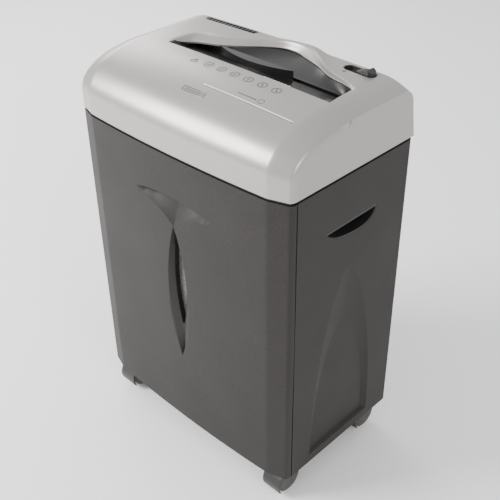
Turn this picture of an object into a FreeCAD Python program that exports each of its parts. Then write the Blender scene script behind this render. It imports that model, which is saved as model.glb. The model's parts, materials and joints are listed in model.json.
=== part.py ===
"""Cross-cut paper shredder with a pull-out bin, on four casters.

Millimetres, +Z up, front towards -Y, +X to the right.  The origin is on the floor under the
middle of the plan.  Each function below makes one piece, or a group of identical ones, in its
place in the rest pose: bin shut, switch at its right-hand stop, casters trailing backwards.
"""
import FreeCAD
import Part
import math
import os
from FreeCAD import Vector

X, Y, Z = Vector(1, 0, 0), Vector(0, 1, 0), Vector(0, 0, 1)

# Overall sizes
WIDTH = 360.0
DEPTH = 230.0
BODY_HEIGHT = 424.0
CASTER_GAP = 46.0
HEAD_RISE = 80.0

# Walls and clearances
SKIN = 3.0
TUB_WALL = 2.5
HEAD_WALL = 2.5
SEAM_GAP = 3.0
PANEL_GAP = 0.7
SLIDE_GAP = 0.4
FIT = 0.15
RUNNING = 0.05

# Plan outline
FRONT_BOW = 5.0
FACET_WIDTH = 26.0
FACET_SETBACK = 8.6
CORNER_WIDTH = 3.0
CORNER_SETBACK = 8.7
REAR_RADIUS = 8.0

# Head
FRONT_UPRIGHT = 24.0
FRONT_CURVE = 98.0
CURVE_POWER = 2.2
CROWN = 3.0
SHOULDER = 29.0
SHOULDER_DROP = 10.0
REAR_LEAN = 8.0
REAR_UPRIGHT = 46.0
REAR_CURVE = 18.0

# Feed throat
THROAT_LEFT = -121.0
THROAT_RIGHT = 147.0
THROAT_FRONT = -8.0
THROAT_BACK = 47.0
THROAT_TAPER = 28.0
THROAT_SKEW = 10.0
BULGE = 35.0
BULGE_X = -12.0
BULGE_SPREAD_LEFT = 45.0
BULGE_SPREAD_RIGHT = 75.0
RIDGE_RISE = 5.5
RIDGE_WIDTH = 9.0
RIDGE_SHIFT = 20.0
THROAT_DROP = 16.0
SLOT_LENGTH = 224.0
SLOT_WIDTH = 7.0
SLOT_X = 15.0
SLOT_Y = 36.0
GUARD_LENGTH = 122.0
GUARD_DEPTH = 13.0
GUARD_RISE = 12.0

# Trim on the head
VENT_CENTRE = (-95.0, 86.5)
VENT_SIZE = (94.0, 12.0)
VENT_BARS = 14
SWITCH_CENTRE = (122.0, 79.0)
SWITCH_SIZE = (46.0, 17.0)
KNOB_SIZE = (24.5, 13.0)
BEZEL_WALL = 1.5
KNOB_RISE = 7.0
SWITCH_TRAVEL = 16.0
LENS_CENTRE = (109.0, 65.5)
LENS_RADIUS = 2.6
PLATE_CENTRE = (7.5, -77.5)
PLATE_SIZE = (36.0, 8.0)
GROOVE_ENDS = ((8.0, -62.0), (146.0, -62.5))
GROOVE_WIDTH = 1.6

# Cutting block
CUT_LENGTH = 220.0
DISC_COUNT = 25
DISC_RADIUS = 16.2
DISC_OVERLAP = 2.4
DISC_SIDE_GAP = 0.15
SHAFT_FLAT = 6.5
JOURNAL_RADIUS = 5.0
BUSHING_WALL = 2.5
ROD_RADIUS = 2.5
PLATE_THICKNESS = 3.0

# Gear train: teeth and module of each mesh
SYNC_TEETH = 20
DRIVE_TEETH, SMALL_TEETH, DRIVE_MODULE = 40, 18, 1.25
LARGE_TEETH, PINION_TEETH, PINION_MODULE = 72, 18, 0.8
GEAR_WIDTH = 9.0
BACKLASH = 0.30
GEAR_GAP = 3.0
PIN_RADIUS = 3.0

# Motor
MOTOR_RADIUS = 27.0
MOTOR_LENGTH = 92.0
MOTOR_Y = -47.0
MOTOR_RISE = 14.0
MOTOR_SHAFT = 3.0

# Bin
FRONT_THICKNESS = 18.0
TUB_SIDE_GAP = 30.0
TUB_REAR_GAP = 24.0
RAIL_HEIGHT = 7.0
SCOOP_WIDTH = 143.0
SCOOP_TOP = 56.0
SCOOP_TIP = 66.0
SCOOP_LOW = 97.0
SCOOP_DEPTH = 12.5
LEAF_TOP = 96.0
LEAF_LENGTH = 210.0
LEAF_HALF_WIDTH = 18.0
PANE_TOP = 103.0
PANE_LENGTH = 156.0
PANE_HALF_WIDTH = 10.0
LEAF_DEPTH = 6.0
PANE_SETBACK = 13.0

# Cabinet sides
ARCH_BASE = 123.0
ARCH_HEIGHT = 281.0
ARCH_INNER_HEIGHT = 200.0
ARCH_MIDDLE = 4.0
ARCH_FOOT = 14.0
ARCH_BORDER = 9.0
ARCH_DEPTH = 4.5
CUP_LENGTH = 94.0
CUP_HEIGHT = 21.0
CUP_DROP = 63.0
CUP_DEPTH = 24.0
CUP_MIDDLE = 4.0

# Casters
WHEEL_RADIUS = 20.0
WHEEL_WIDTH = 11.0
DOME_RISE = 3.5
WHEEL_SPACING = 9.0
AXLE_RADIUS = 2.0
CASTER_TRAIL = 9.0
STEM_RADIUS = 4.0
STEM_INSET = 27.0
FRONT_AXLE_Y = -80.0
REAR_AXLE_Y = 86.0

# Bin interlock
PLUNGER_X = -110.0
PLUNGER_DROP = 20.0
PLUNGER_RADIUS = 2.5

# Cord outlet
CORD_RADIUS = 4.0
GLAND_X = 130.0
GLAND_DROP = 22.0

# Heights that follow from the sizes above
BODY_BOTTOM = CASTER_GAP
SEAM = BODY_BOTTOM + BODY_HEIGHT
COVER_BOTTOM = SEAM + SEAM_GAP
HEAD_TOP = SEAM + HEAD_RISE
PAN_BOTTOM = SEAM - 40.0
PAN_FLOOR = PAN_BOTTOM + SKIN
BASE_TOP = BODY_BOTTOM + 10.0
FRONT_Y = -DEPTH / 2
REAR_Y = DEPTH / 2
SIDE_X = WIDTH / 2
FRONT_CORNER_Y = FRONT_Y + FRONT_BOW + FACET_SETBACK + CORNER_SETBACK
REAR_SEAM_Y = REAR_Y - 11.0
FRONT_BACK_Y = FRONT_Y + FRONT_BOW + FRONT_THICKNESS - 2.0

# The cutting block and gears, which follow from their own sizes
AXLE_SPACING = 2 * DISC_RADIUS - DISC_OVERLAP
SYNC_MODULE = AXLE_SPACING / SYNC_TEETH
CUT_Z = SEAM - 2.0
FRONT_AXIS = (SLOT_Y - AXLE_SPACING / 2, CUT_Z)
REAR_AXIS = (SLOT_Y + AXLE_SPACING / 2, CUT_Z)
MOTOR_AXIS = (MOTOR_Y, SEAM + MOTOR_RISE)
DRIVE_SPACING = DRIVE_MODULE * (DRIVE_TEETH + SMALL_TEETH) / 2
PINION_SPACING = PINION_MODULE * (LARGE_TEETH + PINION_TEETH) / 2
DISC_PITCH = CUT_LENGTH / DISC_COUNT
PLATE_X = CUT_LENGTH / 2 + 4.0
GEAR_X0 = PLATE_X + PLATE_THICKNESS + GEAR_GAP
GEAR_X1 = GEAR_X0 + GEAR_WIDTH
GEAR_X2 = GEAR_X1 + 2.0
PLUNGER_Z = SEAM - PLUNGER_DROP


def box(low, high):
    """Return the box between two corners."""
    return Part.makeBox(high[0] - low[0], high[1] - low[1], high[2] - low[2], Vector(*low))


def rod_x(radius, x0, x1, axis):
    """Return a cylinder along X about the (y, z) axis."""
    return Part.makeCylinder(radius, x1 - x0, Vector(x0, axis[0], axis[1]), X)


def rod_y(radius, y0, y1, x, z):
    """Return a cylinder along Y."""
    return Part.makeCylinder(radius, y1 - y0, Vector(x, y0, z), Y)


def rod_z(radius, z0, z1, x, y):
    """Return a cylinder along Z."""
    return Part.makeCylinder(radius, z1 - z0, Vector(x, y, z0), Z)


def prism(points, direction):
    """Extrude a closed polygon."""
    wire = Part.makePolygon([Vector(*p) for p in points] + [Vector(*points[0])])
    return Part.Face(wire).extrude(direction)


def curve(points):
    """Return a smooth edge through points."""
    spline = Part.BSplineCurve()
    spline.interpolate([Vector(*p) for p in points])
    return spline.toShape()


def fuse(shapes):
    """Join solids that touch into one."""
    joined = shapes[0]
    for shape in shapes[1:]:
        joined = joined.fuse(shape)
    return joined.removeSplitter()


def mirrored(shape):
    """Return the copy on the other side of the middle plane."""
    return shape.mirror(Vector(0, 0, 0), X)


def stadium(centre, size, z0, z1):
    """Return an upright plate with round ends; size is its length along X and its width."""
    cx, cy = centre
    radius = size[1] / 2
    reach = size[0] / 2 - radius
    middle = box((cx - reach, cy - radius, z0), (cx + reach, cy + radius, z1))
    return fuse([middle, rod_z(radius, z0, z1, cx - reach, cy), rod_z(radius, z0, z1, cx + reach, cy)])


# ---------------------------------------------------------------- plan outline and head surface

def plan_wire(inset, z):
    """Closed outline of the body: bowed front, faceted front corners, round rear corners."""
    half = SIDE_X
    bow_x = half - CORNER_WIDTH - FACET_WIDTH
    bow_y = FRONT_Y + FRONT_BOW
    crease = (half - CORNER_WIDTH, bow_y + FACET_SETBACK)
    left = [(-half, REAR_Y - REAR_RADIUS), (-half, FRONT_CORNER_Y), (-crease[0], crease[1]), (-bow_x, bow_y)]
    right = [(-p[0], p[1]) for p in reversed(left)]
    edges = [Part.LineSegment(Vector(*a, z), Vector(*b, z)).toShape() for a, b in zip(left, left[1:])]
    edges.append(Part.Arc(Vector(-bow_x, bow_y, z), Vector(0, FRONT_Y, z),
                          Vector(bow_x, bow_y, z)).toShape())
    edges += [Part.LineSegment(Vector(*a, z), Vector(*b, z)).toShape() for a, b in zip(right, right[1:])]
    corner = REAR_RADIUS * (1 - math.sqrt(0.5))
    rear_x = half - REAR_RADIUS
    edges.append(Part.Arc(Vector(half, REAR_Y - REAR_RADIUS, z),
                          Vector(half - corner, REAR_Y - corner, z), Vector(rear_x, REAR_Y, z)).toShape())
    edges.append(Part.LineSegment(Vector(rear_x, REAR_Y, z), Vector(-rear_x, REAR_Y, z)).toShape())
    edges.append(Part.Arc(Vector(-rear_x, REAR_Y, z), Vector(-half + corner, REAR_Y - corner, z),
                          Vector(-half, REAR_Y - REAR_RADIUS, z)).toShape())
    wire = Part.Wire(edges)
    return wire.makeOffset2D(-inset, 2) if inset else wire


def plan_prism(inset, z0, z1):
    """Body outline, moved in by inset and extruded between two heights."""
    return Part.Face(plan_wire(inset, z0)).extrude(Vector(0, 0, z1 - z0))


def front_y(x):
    """Y of the front face at x, with the bow and the corner facet."""
    bow_x = SIDE_X - CORNER_WIDTH - FACET_WIDTH
    if abs(x) <= bow_x:
        return FRONT_Y + FRONT_BOW * (x / bow_x) ** 2
    if abs(x) <= SIDE_X - CORNER_WIDTH:
        return FRONT_Y + FRONT_BOW + FACET_SETBACK * (abs(x) - bow_x) / FACET_WIDTH
    beyond = (abs(x) - SIDE_X + CORNER_WIDTH) / CORNER_WIDTH
    return FRONT_Y + FRONT_BOW + FACET_SETBACK + CORNER_SETBACK * min(beyond, 1.0)


def crest_z(x):
    """Height of the flat part of the head at x: a slight crown, then a soft shoulder."""
    crowned = HEAD_TOP - CROWN * (x / SIDE_X) ** 2
    into = max(0.0, (abs(x) - SIDE_X + SHOULDER) / SHOULDER)
    return crowned - SHOULDER_DROP * into ** 1.5


def head_z(x, y):
    """Height of the head's outer surface at a point of the plan."""
    top = crest_z(x)
    start = front_y(x)
    flat_from = start + FRONT_CURVE
    if y < flat_from:
        share = min(1.0, (flat_from - y) / FRONT_CURVE)
        knee = SEAM + FRONT_UPRIGHT
        return knee + (top - knee) * (1 - share ** CURVE_POWER) ** (1 / CURVE_POWER)
    return top


def head_section(x, inset):
    """Closed outline of the head in the plane at x, all round its outer skin moved in by inset."""
    at = math.copysign(min(abs(x), SIDE_X), x)
    start = front_y(at) + inset
    knee = SEAM + FRONT_UPRIGHT
    top = crest_z(at) - inset
    steps = 8
    nose = []
    for i in range(steps + 1):
        angle = math.pi / 2 * i / steps
        along = math.cos(angle) ** (2 / CURVE_POWER)
        up = math.sin(angle) ** (2 / CURVE_POWER)
        nose.append((start + FRONT_CURVE * (1 - along), knee + (top - knee) * up))
    foot = REAR_Y - inset
    lean_y = foot - REAR_LEAN
    knee_back = SEAM + REAR_UPRIGHT
    tail = []
    for i in range(steps + 1):
        angle = math.pi / 2 * i / steps
        tail.append((lean_y - REAR_CURVE * (1 - math.sin(angle)),
                     knee_back + (top - knee_back) * math.cos(angle)))
    spot = math.copysign(abs(x) - inset if abs(x) == SIDE_X else abs(x), x)

    def place(p):
        return (spot, p[0], p[1])

    low = COVER_BOTTOM
    edges = [Part.LineSegment(Vector(spot, start, low), Vector(spot, start, knee)).toShape(),
             curve([place(p) for p in nose]),
             Part.LineSegment(Vector(*place(nose[-1])), Vector(*place(tail[0]))).toShape(),
             curve([place(p) for p in tail]),
             Part.LineSegment(Vector(*place(tail[-1])), Vector(spot, foot, low)).toShape(),
             Part.LineSegment(Vector(spot, foot, low), Vector(spot, start, low)).toShape()]
    return Part.Wire(edges)


def head_solid(inset):
    """Solid bounded by the head's outer skin moved in by inset."""
    shoulder_from = SIDE_X - CORNER_WIDTH - FACET_WIDTH
    stations = [shoulder_from * i / 4 for i in range(5)]
    stations += [SIDE_X - SHOULDER, SIDE_X - SHOULDER / 2, SIDE_X - CORNER_WIDTH, SIDE_X]
    stations = sorted(set([-s for s in stations] + stations))
    return Part.makeLoft([head_section(x, inset) for x in stations], True, True)


# ---------------------------------------------------------------- feed throat

def bulge(x):
    """How far the throat's rear edge swings back at x."""
    spread = BULGE_SPREAD_LEFT if x < BULGE_X else BULGE_SPREAD_RIGHT
    return BULGE * math.exp(-((x - BULGE_X) / spread) ** 2)


def throat_back(x):
    """Y of the throat's rear edge at x."""
    cut = max(0.0, THROAT_TAPER - (x - THROAT_LEFT)) / THROAT_TAPER
    return THROAT_BACK + bulge(x) - (THROAT_BACK - THROAT_FRONT - 2.0) * cut ** 1.5


def throat_rim(inset, z):
    """Closed wire of the throat's edge: front, right side, swinging rear edge, blunt left end."""
    left, right = THROAT_LEFT + inset, THROAT_RIGHT - inset
    front, back_right = THROAT_FRONT + inset, THROAT_RIGHT - THROAT_SKEW - inset
    count = 26
    rear = []
    for i in range(count + 1):
        x = back_right + (left - back_right) * i / count
        rear.append((x, max(throat_back(x) - inset, front + 2.0), z))
    corners = [Vector(left, front, z), Vector(right, front, z), Vector(*rear[0]), Vector(*rear[-1])]
    return Part.Wire([Part.LineSegment(corners[0], corners[1]).toShape(),
                      Part.LineSegment(corners[1], corners[2]).toShape(), curve(rear),
                      Part.LineSegment(corners[3], corners[0]).toShape()])


def throat_shaft(inset, z0):
    """Upright shaft with the outline of the throat's edge, from z0 up past the top."""
    return Part.Face(throat_rim(inset, z0)).extrude(Vector(0, 0, HEAD_TOP + RIDGE_RISE + 10.0 - z0))


def throat_trough(drop, spread):
    """Long trough across the throat: front shelf, flat floor at the slot, slope at the rear."""
    floor = HEAD_TOP - THROAT_DROP - drop
    top = HEAD_TOP + RIDGE_RISE + 20.0
    reach = SLOT_WIDTH / 2 + spread
    back = THROAT_BACK + BULGE + 8.0
    profile = [(THROAT_FRONT - 2.0, top), (THROAT_FRONT - 2.0, HEAD_TOP - 4.0 - drop),
               (SLOT_Y - reach, floor),
               (SLOT_Y + reach, floor), (back, HEAD_TOP - 8.0 - drop), (back, top)]
    return prism([(-SIDE_X, y, z) for y, z in profile], Vector(WIDTH, 0, 0))


def ridge_section(x):
    """Closed outline of the raised lip behind the throat, in the plane at x."""
    near = throat_back(x) - 2.0
    far = near + RIDGE_WIDTH + 2.0
    base = crest_z(x) - HEAD_WALL
    rise = RIDGE_RISE * bulge(x - RIDGE_SHIFT) / BULGE + 0.3
    peak = crest_z(x) + rise
    back = crest_z(x) + 0.1
    return Part.Wire([curve([(x, near, peak - 1.0), (x, near + 4.5, peak), (x, (near + far) / 2 + 1.0,
                      (peak + back) / 2 + 0.25 * rise), (x, far, back)]),
                      Part.LineSegment(Vector(x, far, back), Vector(x, far, base)).toShape(),
                      Part.LineSegment(Vector(x, far, base), Vector(x, near, base)).toShape(),
                      Part.LineSegment(Vector(x, near, base), Vector(x, near, peak - 1.0)).toShape()])


def ridge_solid():
    """Raised lip that follows the throat's rear edge and is highest at the bulge."""
    first, last = THROAT_LEFT + THROAT_TAPER, THROAT_RIGHT - THROAT_SKEW - 14.0
    stations = [first + (last - first) * i / 14 for i in range(15)]
    return Part.makeLoft([ridge_section(x) for x in stations], True, True)


def head_skin_below(depth):
    """Everything under the head's surface sunk by depth, for trim that follows the surface."""
    return head_solid(0.0).translated(Vector(0, 0, -depth))


# ---------------------------------------------------------------- head shell and trim

def cover_screw_places():
    """Plan position of each screw that holds the cover to the pan."""
    x = SIDE_X - 11.0
    return [(sx * x, y) for sx in (-1, 1) for y in (FRONT_Y + 58.0, REAR_Y - 30.0)]


def top_cover():
    """Silver head shell, open below, with its throat, vent, switch and trim openings."""
    shell = head_solid(0.0).cut(head_solid(HEAD_WALL)).cut(
        plan_prism(HEAD_WALL, COVER_BOTTOM - 1.0, COVER_BOTTOM + 2.0))
    shell = shell.fuse(ridge_solid())
    shell = shell.cut(throat_shaft(0.0, HEAD_TOP - THROAT_DROP - SKIN - 1.0))
    for centre, size in ((VENT_CENTRE, VENT_SIZE), (SWITCH_CENTRE, SWITCH_SIZE)):
        shell = shell.cut(stadium(centre, size, SEAM + 40.0, HEAD_TOP + 20.0))
    shell = shell.cut(rod_z(LENS_RADIUS, SEAM + 40.0, HEAD_TOP + 20.0, *LENS_CENTRE))
    shell = shell.cut(plate_block(FIT, 4.0))
    shell = shell.cut(groove_block().cut(head_skin_below(0.9)))
    bosses = []
    for x, y in cover_screw_places():
        boss = rod_z(4.5, COVER_BOTTOM, COVER_BOTTOM + 16.0, x, y)
        web = box((min(x, math.copysign(SIDE_X - 1.5, x)), y - 1.5, COVER_BOTTOM),
                  (max(x, math.copysign(SIDE_X - 1.5, x)), y + 1.5, COVER_BOTTOM + 16.0))
        bosses.append(boss.fuse(web).cut(rod_z(1.75, COVER_BOTTOM - 1, COVER_BOTTOM + 14.0, x, y)))
    for boss in bosses:
        shell = shell.fuse(boss)
    return shell.removeSplitter()


def groove_block():
    """Thin upright wall along the styling groove."""
    (x0, y0), (x1, y1) = GROOVE_ENDS
    half = GROOVE_WIDTH / 2
    return prism([(x0, y0 - half, SEAM + 30), (x1, y1 - half, SEAM + 30), (x1, y1 + half, SEAM + 30),
                  (x0, y0 + half, SEAM + 30)], Vector(0, 0, HEAD_RISE))


def plate_block(grow, height):
    """Block that lies along the head's surface at the name plate, grown by a clearance."""
    cx, cy = PLATE_CENTRE
    slope = math.degrees(math.atan2(head_z(cx, cy + 4) - head_z(cx, cy - 4), 8.0))
    long_half, short_half = PLATE_SIZE[0] / 2 + grow, PLATE_SIZE[1] / 2 + grow
    block = box((-long_half, -short_half, -1.0 - grow), (long_half, short_half, height))
    block.rotate(Vector(0, 0, 0), X, slope)
    return block.translated(Vector(cx, cy, head_z(cx, cy)))


def name_plate():
    """Blank plate let into the front curve of the head."""
    return plate_block(0.0, 0.3)


def throat_insert():
    """Black feed throat: sloping shelf, slot and rear wall in one moulding."""
    floor = HEAD_TOP - THROAT_DROP
    top = HEAD_TOP - CROWN - 0.5
    outer = throat_shaft(FIT, floor - SKIN).common(throat_trough(SKIN, 5.0))
    outer = outer.common(box((-SIDE_X, FRONT_Y, SEAM), (SIDE_X, REAR_Y, top)))
    inner = throat_shaft(FIT + 1.8, floor).common(throat_trough(0.0, 0.0))
    slot = box((SLOT_X - SLOT_LENGTH / 2, SLOT_Y - SLOT_WIDTH / 2, floor - SKIN - 1.0),
               (SLOT_X + SLOT_LENGTH / 2, SLOT_Y + SLOT_WIDTH / 2, floor + 1.0))
    return outer.cut(inner).cut(slot)


def disc_guard():
    """Lens-shaped lip in front of the slot that guides discs and cards."""
    half = GUARD_LENGTH / 2
    near = SLOT_Y - SLOT_WIDTH / 2 - 0.5
    z0 = HEAD_TOP - THROAT_DROP
    rim = Part.Wire([Part.LineSegment(Vector(-half, near, z0), Vector(half, near, z0)).toShape(),
                     Part.Arc(Vector(half, near, z0), Vector(0, near - GUARD_DEPTH, z0),
                              Vector(-half, near, z0)).toShape()])
    lens = Part.Face(rim).extrude(Vector(0, 0, GUARD_RISE))
    lip = lens.cut(lens.translated(Vector(0, 2.5, -2.5)))
    return lip.common(throat_trough(-0.2, 0.0))


def vent_grille():
    """Slotted grille set flush in the cover's rear edge."""
    size = (VENT_SIZE[0] - 2 * FIT, VENT_SIZE[1] - 2 * FIT)
    plate = stadium(VENT_CENTRE, size, SEAM + 40.0, HEAD_TOP + 20.0).common(
        head_skin_below(0.8).cut(head_skin_below(0.8 + HEAD_WALL)))
    pitch = (VENT_SIZE[0] - 8.0) / VENT_BARS
    for i in range(VENT_BARS):
        x = VENT_CENTRE[0] + pitch * (i - (VENT_BARS - 1) / 2)
        plate = plate.cut(box((x - pitch * 0.28, VENT_CENTRE[1] - VENT_SIZE[1] / 2 + 2.0, SEAM + 40.0),
                              (x + pitch * 0.28, VENT_CENTRE[1] + VENT_SIZE[1] / 2 - 2.0, HEAD_TOP)))
    return plate


def knob_rest_x():
    """Centre of the knob at its right-hand stop."""
    return SWITCH_CENTRE[0] + (SWITCH_SIZE[0] - KNOB_SIZE[0]) / 2 - FIT - BEZEL_WALL - SLIDE_GAP


def switch_floor_z():
    """Height of the flat floor of the switch recess."""
    return crest_z(SWITCH_CENTRE[0] + SWITCH_SIZE[0] / 2) - 3.5


def switch_bezel():
    """Oval cup round the slide switch, with a slot for the knob's stem."""
    size = (SWITCH_SIZE[0] - 2 * FIT, SWITCH_SIZE[1] - 2 * FIT)
    floor = switch_floor_z()
    cup = stadium(SWITCH_CENTRE, size, floor - 2.0, HEAD_TOP + 20.0).common(head_skin_below(0.3))
    well = (size[0] - 2 * BEZEL_WALL, size[1] - 2 * BEZEL_WALL)
    cup = cup.cut(stadium(SWITCH_CENTRE, well, floor, HEAD_TOP + 20.0))
    stem = stem_box(0.6)
    return cup.cut(stem.fuse(stem.translated(Vector(-SWITCH_TRAVEL, 0, 0))).fuse(
        box((stem.BoundBox.XMin - SWITCH_TRAVEL, stem.BoundBox.YMin, stem.BoundBox.ZMin),
            (stem.BoundBox.XMax, stem.BoundBox.YMax, stem.BoundBox.ZMax))))


def stem_box(grow):
    """Stem that joins the knob to the switch, grown by a clearance."""
    x, y = knob_rest_x(), SWITCH_CENTRE[1]
    floor = switch_floor_z()
    return box((x - 3.0 - grow, y - 1.5 - grow, floor - 6.0), (x + 3.0 + grow, y + 1.5 + grow, floor + 1.0))


def switch_knob():
    """Shoe-shaped slide knob, higher at its right-hand end, with grip ridges."""
    x, y = knob_rest_x(), SWITCH_CENTRE[1]
    floor = switch_floor_z() + SLIDE_GAP
    half = KNOB_SIZE[0] / 2
    body = stadium((x, y), KNOB_SIZE, floor, floor + KNOB_RISE + 3.0)
    side = [(x - half - 1, 0, floor), (x + half + 1, 0, floor), (x + half + 1, 0, floor + KNOB_RISE - 1.0),
            (x + half * 0.4, 0, floor + KNOB_RISE + 3.0), (x, 0, floor + KNOB_RISE),
            (x - half, 0, floor + 4.0),
            (x - half - 1, 0, floor + 3.5)]
    body = body.common(prism([(p[0], REAR_Y - 60.0, p[2]) for p in side], Vector(0, 80, 0)))
    for i in range(4):
        gx = x - half * 0.55 + 3.2 * i
        body = body.cut(rod_y(0.7, y - 10, y + 10, gx, floor + KNOB_RISE - 1.2 + 0.45 * i))
    return body.fuse(stem_box(0.0)).removeSplitter()


def slide_switch():
    """Electrical slide switch under the bezel."""
    x, y = SWITCH_CENTRE
    floor = switch_floor_z()
    return box((x - 20, y - 7, floor - 20.0), (x + 20, y + 7, floor - 6.5)).cut(
        box((x - 16, y - 3, floor - 9.0), (x + 16, y + 3, floor - 6.0)))


def status_lens():
    """Small indicator lens in front of the switch."""
    x, y = LENS_CENTRE
    lens = rod_z(LENS_RADIUS - FIT, HEAD_TOP - 9.0, crest_z(x) - 0.1, x, y)
    return lens.fuse(rod_z(LENS_RADIUS + 1.5, HEAD_TOP - 10.0, HEAD_TOP - HEAD_WALL - 3.2, x,
                           y)).removeSplitter()


# ---------------------------------------------------------------- pan and cutting block

def pan_half_x():
    """Half width of the pan's tray."""
    return SIDE_X - 15.0


def head_pan():
    """Black tray that carries the mechanism; its rim shows as the dark line under the head."""
    half, front, rear = pan_half_x(), FRONT_BACK_Y + 4.0, REAR_Y - SKIN - 4.0
    rim = plan_prism(2.0, SEAM, COVER_BOTTOM).cut(box((-half + SKIN, front + SKIN, SEAM - 1),
                                                      (half - SKIN, rear - SKIN, SEAM + 9)))
    tray = box((-half, front, PAN_BOTTOM), (half, rear, SEAM + 0.5))
    tray = tray.cut(box((-half + SKIN, front + SKIN, PAN_FLOOR), (half - SKIN, rear - SKIN, SEAM + 9)))
    pan = rim.fuse(tray)
    outlet_half = CUT_LENGTH / 2 + 1.0
    reach = AXLE_SPACING / 2 + DISC_RADIUS - 4.0
    pan = pan.cut(box((SLOT_X - outlet_half, SLOT_Y - reach, PAN_BOTTOM - 1),
                      (SLOT_X + outlet_half, SLOT_Y + reach, PAN_FLOOR + 1)))
    pan = pan.cut(rod_y(PLUNGER_RADIUS + 0.4, front - 1, front + SKIN + 1, PLUNGER_X, PLUNGER_Z))
    pan = pan.cut(rod_y(gland_radius() + FIT, rear - SKIN - 1, rear + 1, GLAND_X, SEAM - GLAND_DROP))
    for x, y in cover_screw_places():
        pan = pan.cut(rod_z(2.0, SEAM - 1, COVER_BOTTOM + 1, x, y))
    return pan.removeSplitter()


def cover_screws():
    """Screws from under the pan's rim up into the cover's bosses."""
    screws = [rod_z(3.2, SEAM - 2.4, SEAM, x,
                    y).fuse(rod_z(1.7, SEAM, COVER_BOTTOM + 13.0, x, y)).removeSplitter()
              for x, y in cover_screw_places()]
    return Part.makeCompound(screws)


def middle_axis():
    """Axis of the middle gear, from its distances to the front shaft and to the motor."""
    (y0, z0), (y1, z1) = FRONT_AXIS, MOTOR_AXIS
    gap = math.hypot(y1 - y0, z1 - z0)
    along = (DRIVE_SPACING ** 2 - PINION_SPACING ** 2 + gap ** 2) / (2 * gap)
    across = math.sqrt(max(DRIVE_SPACING ** 2 - along ** 2, 0.0))
    uy, uz = (y1 - y0) / gap, (z1 - z0) / gap
    return (y0 + along * uy + across * uz, z0 + along * uz - across * uy)


def rod_axes():
    """Axes of the four tie rods, two in front of the cutters and two behind."""
    reach = AXLE_SPACING / 2 + DISC_RADIUS + ROD_RADIUS + 1.3
    return [(SLOT_Y + sy * reach, CUT_Z + sz * 9.0) for sy in (-1, 1) for sz in (-1, 1)]


def side_plate(x0, front):
    """Steel side plate of the cutting block with bushing, rod and motor openings."""
    reach = AXLE_SPACING / 2 + DISC_RADIUS + 8.0
    plate = box((x0, front, PAN_FLOOR), (x0 + PLATE_THICKNESS, SLOT_Y + reach, CUT_Z + 19.0))
    for axis in (FRONT_AXIS, REAR_AXIS):
        plate = plate.cut(rod_x(JOURNAL_RADIUS + BUSHING_WALL, x0 - 1, x0 + PLATE_THICKNESS + 1, axis))
    for axis in rod_axes():
        plate = plate.cut(rod_x(ROD_RADIUS + 0.02, x0 - 1, x0 + PLATE_THICKNESS + 1, axis))
    return plate


def cutter_plate_left():
    """Side plate at the synchronising gears."""
    return side_plate(-PLATE_X - PLATE_THICKNESS, SLOT_Y - AXLE_SPACING / 2 - DISC_RADIUS - 8.0)


def cutter_plate_right():
    """Side plate at the gear train; it runs forward to hold the motor."""
    x0, x1 = PLATE_X, PLATE_X + PLATE_THICKNESS
    front = MOTOR_AXIS[0] - MOTOR_RADIUS
    plate = side_plate(x0, front)
    ear = box((x0, front, CUT_Z), (x1, MOTOR_AXIS[0] + MOTOR_RADIUS, MOTOR_AXIS[1] + MOTOR_RADIUS - 4.0))
    plate = plate.fuse(ear)
    plate = plate.cut(rod_x(8.0, x0 - 1, x1 + 1, MOTOR_AXIS))
    plate = plate.cut(rod_x(PIN_RADIUS, x0 - 1, x1 + 1, middle_axis()))
    for axis in motor_screw_axes():
        plate = plate.cut(rod_x(2.0, x0 - 1, x1 + 1, axis))
    return plate.removeSplitter()


def tie_rods():
    """Rods that hold the two side plates apart and carry the combs."""
    reach = PLATE_X + PLATE_THICKNESS + 3.0
    return Part.makeCompound([rod_x(ROD_RADIUS, -reach, reach, axis) for axis in rod_axes()])


def hexagon(across_flat, x0, x1, axis):
    """Hexagonal bar along X with a flat facing up; across_flat is half the size over the flats."""
    corner = across_flat / math.cos(math.pi / 6)
    points = [(x0, axis[0] + corner * math.cos(math.pi / 3 * i),
               axis[1] + corner * math.sin(math.pi / 3 * i))
              for i in range(6)]
    return prism(points, Vector(x1 - x0, 0, 0))


def cutter_shaft(axis, left_end, right_end):
    """Hexagonal cutter shaft with a round journal at each end."""
    core = hexagon(SHAFT_FLAT, -PLATE_X + 0.5, PLATE_X - 0.5, axis)
    return core.fuse(rod_x(JOURNAL_RADIUS, -left_end, right_end, axis)).removeSplitter()


def cutter_shaft_front():
    """Driven shaft; its right-hand end carries the drive gear."""
    return cutter_shaft(FRONT_AXIS, GEAR_X1, GEAR_X1 + 1.0)


def cutter_shaft_rear():
    """Shaft that the synchronising gears turn."""
    return cutter_shaft(REAR_AXIS, GEAR_X1, PLATE_X + PLATE_THICKNESS + 2.0)


def disc_starts(shift):
    """Left face of each disc of one shaft; the other shaft's discs are half a pitch along."""
    return [-CUT_LENGTH / 2 + DISC_PITCH * (i + shift / 2) + DISC_SIDE_GAP / 2 for i in range(DISC_COUNT)]


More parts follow.
